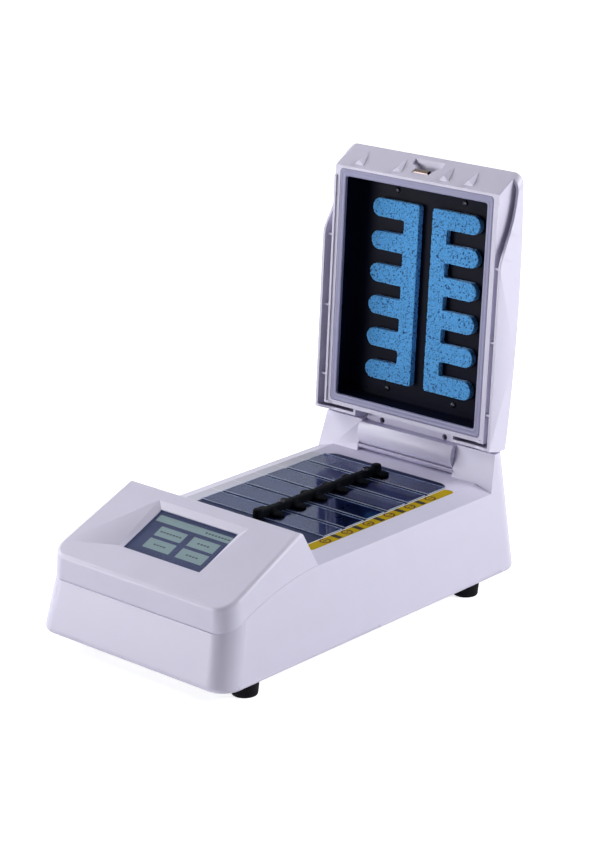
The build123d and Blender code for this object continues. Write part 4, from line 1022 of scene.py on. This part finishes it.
@dataclass
class IndexMarks:
    """Marks on the two index strips: printed rings with numbers, bars between them and pale lines, and a
    painted highlight along the inner edge of the right strip, where the deck's rim is lit.
    """

    strip_x: Pair = (78.3, 91.3)
    ahead: float = 4.6
    bar_x: Pair = (79.2, 90.6)
    bar_half: float = 3.0
    ring_r: float = 5.7
    ring_line: float = 1.7
    ring_steps: int = 40
    digit: float = 9.0
    digit_bold: float = 0.02
    ink_mm: float = 0.05
    sink_mm: float = 0.02
    line_half: float = 0.35
    # Where the painted highlight of the lit deck rim runs, along the right strip's inner edge
    highlight_x: Pair = (78.15, 79.15)
    highlight_y: Pair = (-71.5, 136.0)

    def __post_init__(self) -> None:
        """Find the height of the strips' surface, and from it the heights of the ink."""
        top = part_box("index_strip_right")[1].z / MM
        self.ink = (top - self.sink_mm, top + self.ink_mm)

    def build(self) -> None:
        """Print both strips, and paint a highlight along the right strip's inner edge."""
        dark, brown, edge, pale = (PieceMaker() for _ in range(4))
        left_x = (-self.strip_x[1], -self.strip_x[0])
        for index in range(SLIDES_PER_ROW):
            self.ring(brown, str(index + 1), slide_y(index + 0.5) - self.ahead)
        for index in range(SLIDES_PER_ROW - 1):
            self.patch(dark, self.bar_x, slide_y(index + 1) - self.ahead, self.bar_half)
            self.patch(pale, left_x, slide_y(index + 0.5), self.line_half)
        # Painted highlight: a pale line along the right strip's inner edge, where the deck's rim is lit
        edge.prism(block(self.highlight_x, self.highlight_y), *self.ink)
        for maker, name, look, slot in (
            (dark, "index_bars_right", PRINT_INK, Slot.YELLOW_LABEL),
            (brown, "index_rings_right", BROWN_INK, Slot.YELLOW_LABEL),
            (edge, "painted_highlight_right", PALE_INK_AND_HIGHLIGHT, Slot.YELLOW_LABEL),
            (pale, "index_lines_left", PALE_INK_AND_HIGHLIGHT, Slot.GREY_LABEL),
        ):
            maker.finish(name, look, "base", slot, smooth_deg=20.0)

    def patch(self, maker: PieceMaker, x: Pair, y: float, half: float) -> None:
        """One printed bar across a strip, to both sides of a line at that y."""
        maker.prism(block(x, (y - half, y + half)), *self.ink)

    def ring(self, maker: PieceMaker, number: str, y: float) -> None:
        """A printed ring round a position number."""
        low, high = self.ink
        inner = self.ring_r - self.ring_line
        place = Matrix.Translation((sum(self.strip_x) / 2, y, 0.0))
        profile = [(self.ring_r, low), (self.ring_r, high), (inner, high), (inner, low)]
        maker.lathe(profile, place, self.ring_steps, closed=True)
        print_mesh = figure(number, self.digit, high - low, self.digit_bold)
        maker.copy(print_mesh, place @ Matrix.Translation((0.0, 0.0, low)))


def figure(words: str, height: float, thickness: float, bold: float, steps: int = 4) -> Mesh:
    """Mesh of a plain figure, centred, standing from z = 0.

    Args:
        words: The characters.
        height: Type size, in millimetres.
        thickness: How thick the print is.
        bold: How far the outline is swollen.
        steps: Pieces of each curved stretch.

    Returns:
        The mesh, in millimetres.
    """
    curve = bpy.data.curves.new("figure", "FONT")
    curve.body = words
    curve.size = height
    curve.align_x = "CENTER"
    curve.align_y = "CENTER"
    curve.extrude = thickness / 2
    curve.offset = bold
    curve.resolution_u = steps
    mesh = evaluated_mesh(new_object("figure", curve))
    mesh.transform(Matrix.Translation((0.0, 0.0, thickness / 2)))
    return mesh


@dataclass
class ScreenPicture:
    """What the lit display shows: a plain header and four plain buttons, without words.

    Places on the picture are distances right of its left edge and below its top edge.
    """

    cover_front: float = PLATE_REAR - 354.5
    panel_foot: float = LAND - 14.3
    slope: float = 45.4 / 103.1
    depth: float = 5.8
    clear_mm: float = 0.02
    print_mm: float = 0.08
    left: float = -48.6
    top: float = 90.3
    header: tuple[Pair, Pair] = ((3.0, 96.0), (4.6, 12.6))
    header_words: tuple[float, float, int] = (78.0, 8.6, 8)
    columns: tuple[Pair, ...] = ((15.5, 48.5), (56.5, 89.0))
    rows: tuple[Pair, ...] = ((17.0, 29.5), (33.2, 46.0))
    button_words: tuple[int, ...] = (7, 4, 4, 4)
    dash_pitch: float = 3.9
    dash_half: Pair = (1.35, 0.9)

    def place(self) -> Matrix:
        """Place of the display's surface: local x is X and local y goes up the panel."""
        turn = Matrix.Rotation(math.atan(self.slope), 4, "X")
        normal = turn @ Vector((0.0, 0.0, 1.0))
        origin = Vector((0.0, self.cover_front, self.panel_foot)) - normal * self.depth
        return Matrix.Translation(origin) @ turn

    def patch(self, maker: PieceMaker, across: Pair, down: Pair, level: int) -> None:
        """One rectangle of the picture. Level 0 lies on the display, and level 1 on that."""
        x = (self.left + across[0], self.left + across[1])
        y = (self.top - down[1], self.top - down[0])
        low = self.clear_mm + level * self.print_mm
        maker.prism(block(x, y), low, low + self.print_mm, self.place())

    def build(self) -> None:
        """Draw the picture just over the display, inside the cover glass."""
        areas, marks = PieceMaker(), PieceMaker()
        self.patch(areas, *self.header, level=0)
        buttons = [(column, row) for row in self.rows for column in self.columns]
        for (column, row), count in zip(buttons, self.button_words):
            self.patch(areas, column, row, level=0)
            self.dashes(marks, sum(column) / 2, sum(row) / 2, count)
        self.dashes(marks, *self.header_words)
        areas.finish("screen_fields", SCREEN_GREY, "base", Slot.BLACK_PLASTIC, smooth_deg=20.0)
        marks.finish("screen_dashes", SCREEN_MARK, "base", Slot.BLACK_PLASTIC, smooth_deg=20.0)

    def dashes(self, maker: PieceMaker, across: float, down: float, count: int) -> None:
        """A row of plain dashes about a point, where words would be."""
        length, height = self.dash_half
        for k in range(count):
            middle = across + (k - (count - 1) / 2) * self.dash_pitch
            self.patch(maker, (middle - length, middle + length), (down - height, down + height), level=1)


@dataclass
class FuseCap:
    """The fuse holder: a round carrier in the rear wall, with a cap that has flutes for the fingers.

    Its profile lists radius, height and depth of the flutes, from the carrier's foot to the dished top.
    """

    x: float = 2.0
    profile: tuple[Triple, ...] = (
        (6.0, -28.0, 0.0), (6.0, 0.0, 0.0), (8.0, 0.0, 0.0), (8.0, 1.0, 0.0), (7.7, 1.2, 0.5),
        (7.7, 5.2, 0.5), (7.0, 6.0, 0.2), (5.0, 6.0, 0.0), (4.6, 5.4, 0.0),
    )
    flutes: int = 18
    flute_steps: int = 6

    def build(self) -> None:
        """Make the carrier and its cap as one skin of rings."""
        place = rear_place(self.x)
        steps = self.flutes * self.flute_steps
        loops = []
        for radius, height, flute in self.profile:
            loop = []
            for angle in (2 * math.pi * k / steps for k in range(steps)):
                reach = radius - flute * (0.5 - 0.5 * math.cos(self.flutes * angle))
                loop.append(place @ Vector((reach * math.cos(angle), reach * math.sin(angle), height)))
            loops.append(loop)
        maker = PieceMaker()
        maker.rings(loops, capped=True)
        maker.finish("fuse_cap", BLACK_ABS, "base", Slot.BLACK_PLASTIC, ["fuse_holder"])


@dataclass
class AreaLamp:
    """One soft lamp of the studio."""

    name: str
    place_m: Triple
    aim_m: Triple
    size_m: Pair
    power: float
    colour: str = "#ffffff"

    def build(self) -> None:
        """Hang the lamp and aim it."""
        lamp = bpy.data.lights.new(self.name, "AREA")
        lamp.shape = "RECTANGLE"
        lamp.size, lamp.size_y = self.size_m
        lamp.energy = self.power
        lamp.color = linear(self.colour)[:3]
        holder = new_object(self.name, lamp)
        holder.location = self.place_m
        aim = Vector(self.aim_m) - Vector(self.place_m)
        holder.rotation_euler = aim.to_track_quat("-Z", "Y").to_euler()


@dataclass
class Studio:
    """Floor, light and camera.

    The floor has a glow of its own that only camera, metal and glass see. It grows from floor_lift near the
    object to 1 at floor_far_m, so that the object's shadow still shows beside it. The white surroundings
    light the object with a strength of sky_light only.
    """

    azimuth_deg: float = 41.70
    elevation_deg: float = 18.15
    focal_px: float = 2572.89
    camera_m: Triple = (1.5268, -1.7002, 0.9401)
    sensor_mm: float = 36.0
    clip_near_m: float = 0.05
    clip_far_m: float = 100.0
    floor_half_m: float = 30.0
    floor_colour: str = "#f2f2f4"
    floor_roughness: float = 0.9
    floor_specular: float = 0.1
    floor_lift: float = 0.7
    floor_near_m: float = 0.7
    floor_far_m: float = 2.4
    sky_light: float = 0.05
    lamps: tuple[AreaLamp, ...] = (
        AreaLamp("right_rear_lamp", (2.0, 1.3, 1.5), (0.0, 0.1, 0.25), (1.2, 1.2), 62.0),
        AreaLamp("left_lamp", (-2.3, -0.6, 1.4), (0.0, 0.0, 0.2), (1.2, 1.2), 50.0),
        AreaLamp("low_front_lamp", (-1.6, -2.1, 0.35), (0.0, 0.0, 0.25), (1.2, 0.5), 27.0),
    )

    def build(self) -> None:
        """Set up the studio."""
        bpy.context.scene.view_settings.view_transform = "Standard"
        self.floor()
        self.sky()
        for lamp in self.lamps:
            lamp.build()
        self.camera()

    def floor(self) -> None:
        """A plain pale floor that reads white to the camera and keeps the object's shadow."""
        mesh = bpy.data.meshes.new("studio_floor")
        span = (-self.floor_half_m, self.floor_half_m)
        mesh.from_pydata([(x, y, 0.0) for x, y in block(span, span)], [], [(0, 1, 2, 3)])
        floor = new_object("studio_floor", mesh)
        material = bpy.data.materials.new("studio_floor_paint")
        material.use_nodes = True
        tree = material.node_tree
        shader = tree.nodes["Principled BSDF"]
        plug(shader, {
            "Base Color": linear(self.floor_colour), "Roughness": self.floor_roughness,
            "Specular IOR Level": self.floor_specular,
        })
        place = add_node(tree, "ShaderNodeTexCoord").outputs["Object"]
        distance = add_node(tree, "ShaderNodeVectorMath", {0: place}, operation="LENGTH").outputs["Value"]
        wider = remap(tree, distance, (self.floor_near_m, self.floor_far_m), (self.floor_lift, 1.0))
        lift = combine(tree, "MULTIPLY", background_rays(tree), wider)
        glow = add_node(tree, "ShaderNodeEmission", {"Strength": lift})
        layers = {0: shader.outputs["BSDF"], 1: glow.outputs["Emission"]}
        both = add_node(tree, "ShaderNodeAddShader", layers)
        plug(tree.nodes["Material Output"], {"Surface": both.outputs["Shader"]})
        mesh.materials.append(material)

    def sky(self) -> None:
        """Even pale light all round, which the camera, metal and glass see as white."""
        world = bpy.data.worlds.new("studio_sky")
        bpy.context.scene.world = world
        world.use_nodes = True
        tree = world.node_tree
        tree.nodes.clear()
        strength = remap(tree, background_rays(tree), (0.0, 1.0), (self.sky_light, 1.0))
        sky = add_node(tree, "ShaderNodeBackground", {"Strength": strength, "Color": linear("#ffffff")})
        add_node(tree, "ShaderNodeOutputWorld", {"Surface": sky.outputs["Background"]})

    def camera(self) -> None:
        """The camera at the photograph's viewing angle."""
        data = bpy.data.cameras.new("photo_camera")
        data.sensor_width = self.sensor_mm
        data.sensor_fit = "AUTO"
        data.lens = self.focal_px / IMAGE_HEIGHT_PX * self.sensor_mm
        data.clip_start = self.clip_near_m
        data.clip_end = self.clip_far_m
        camera = new_object("photo_camera", data)
        azimuth, elevation = math.radians(self.azimuth_deg), math.radians(self.elevation_deg)
        level = math.cos(elevation)
        back = Vector((math.sin(azimuth) * level, -math.cos(azimuth) * level, math.sin(elevation)))
        camera.location = self.camera_m
        camera.rotation_mode = "QUATERNION"
        camera.rotation_quaternion = (-back).to_track_quat("-Z", "Y")
        bpy.context.scene.camera = camera


def main() -> None:
    """Build the looks of the whole object, then its studio."""
    logging.basicConfig(level=logging.INFO, format="%(message)s")
    builders = (
        CasingDress(), SpongeComb("left"), SpongeComb("right"), GlassSlides(), DividerBar(), GasketBead(),
        VisibleScrews(), IndexMarks(), ScreenPicture(), FuseCap(), Studio(),
    )
    for builder in builders:
        builder.build()
        LOG.info("done: %s", type(builder).__name__)


if __name__ == "__main__":
    main()
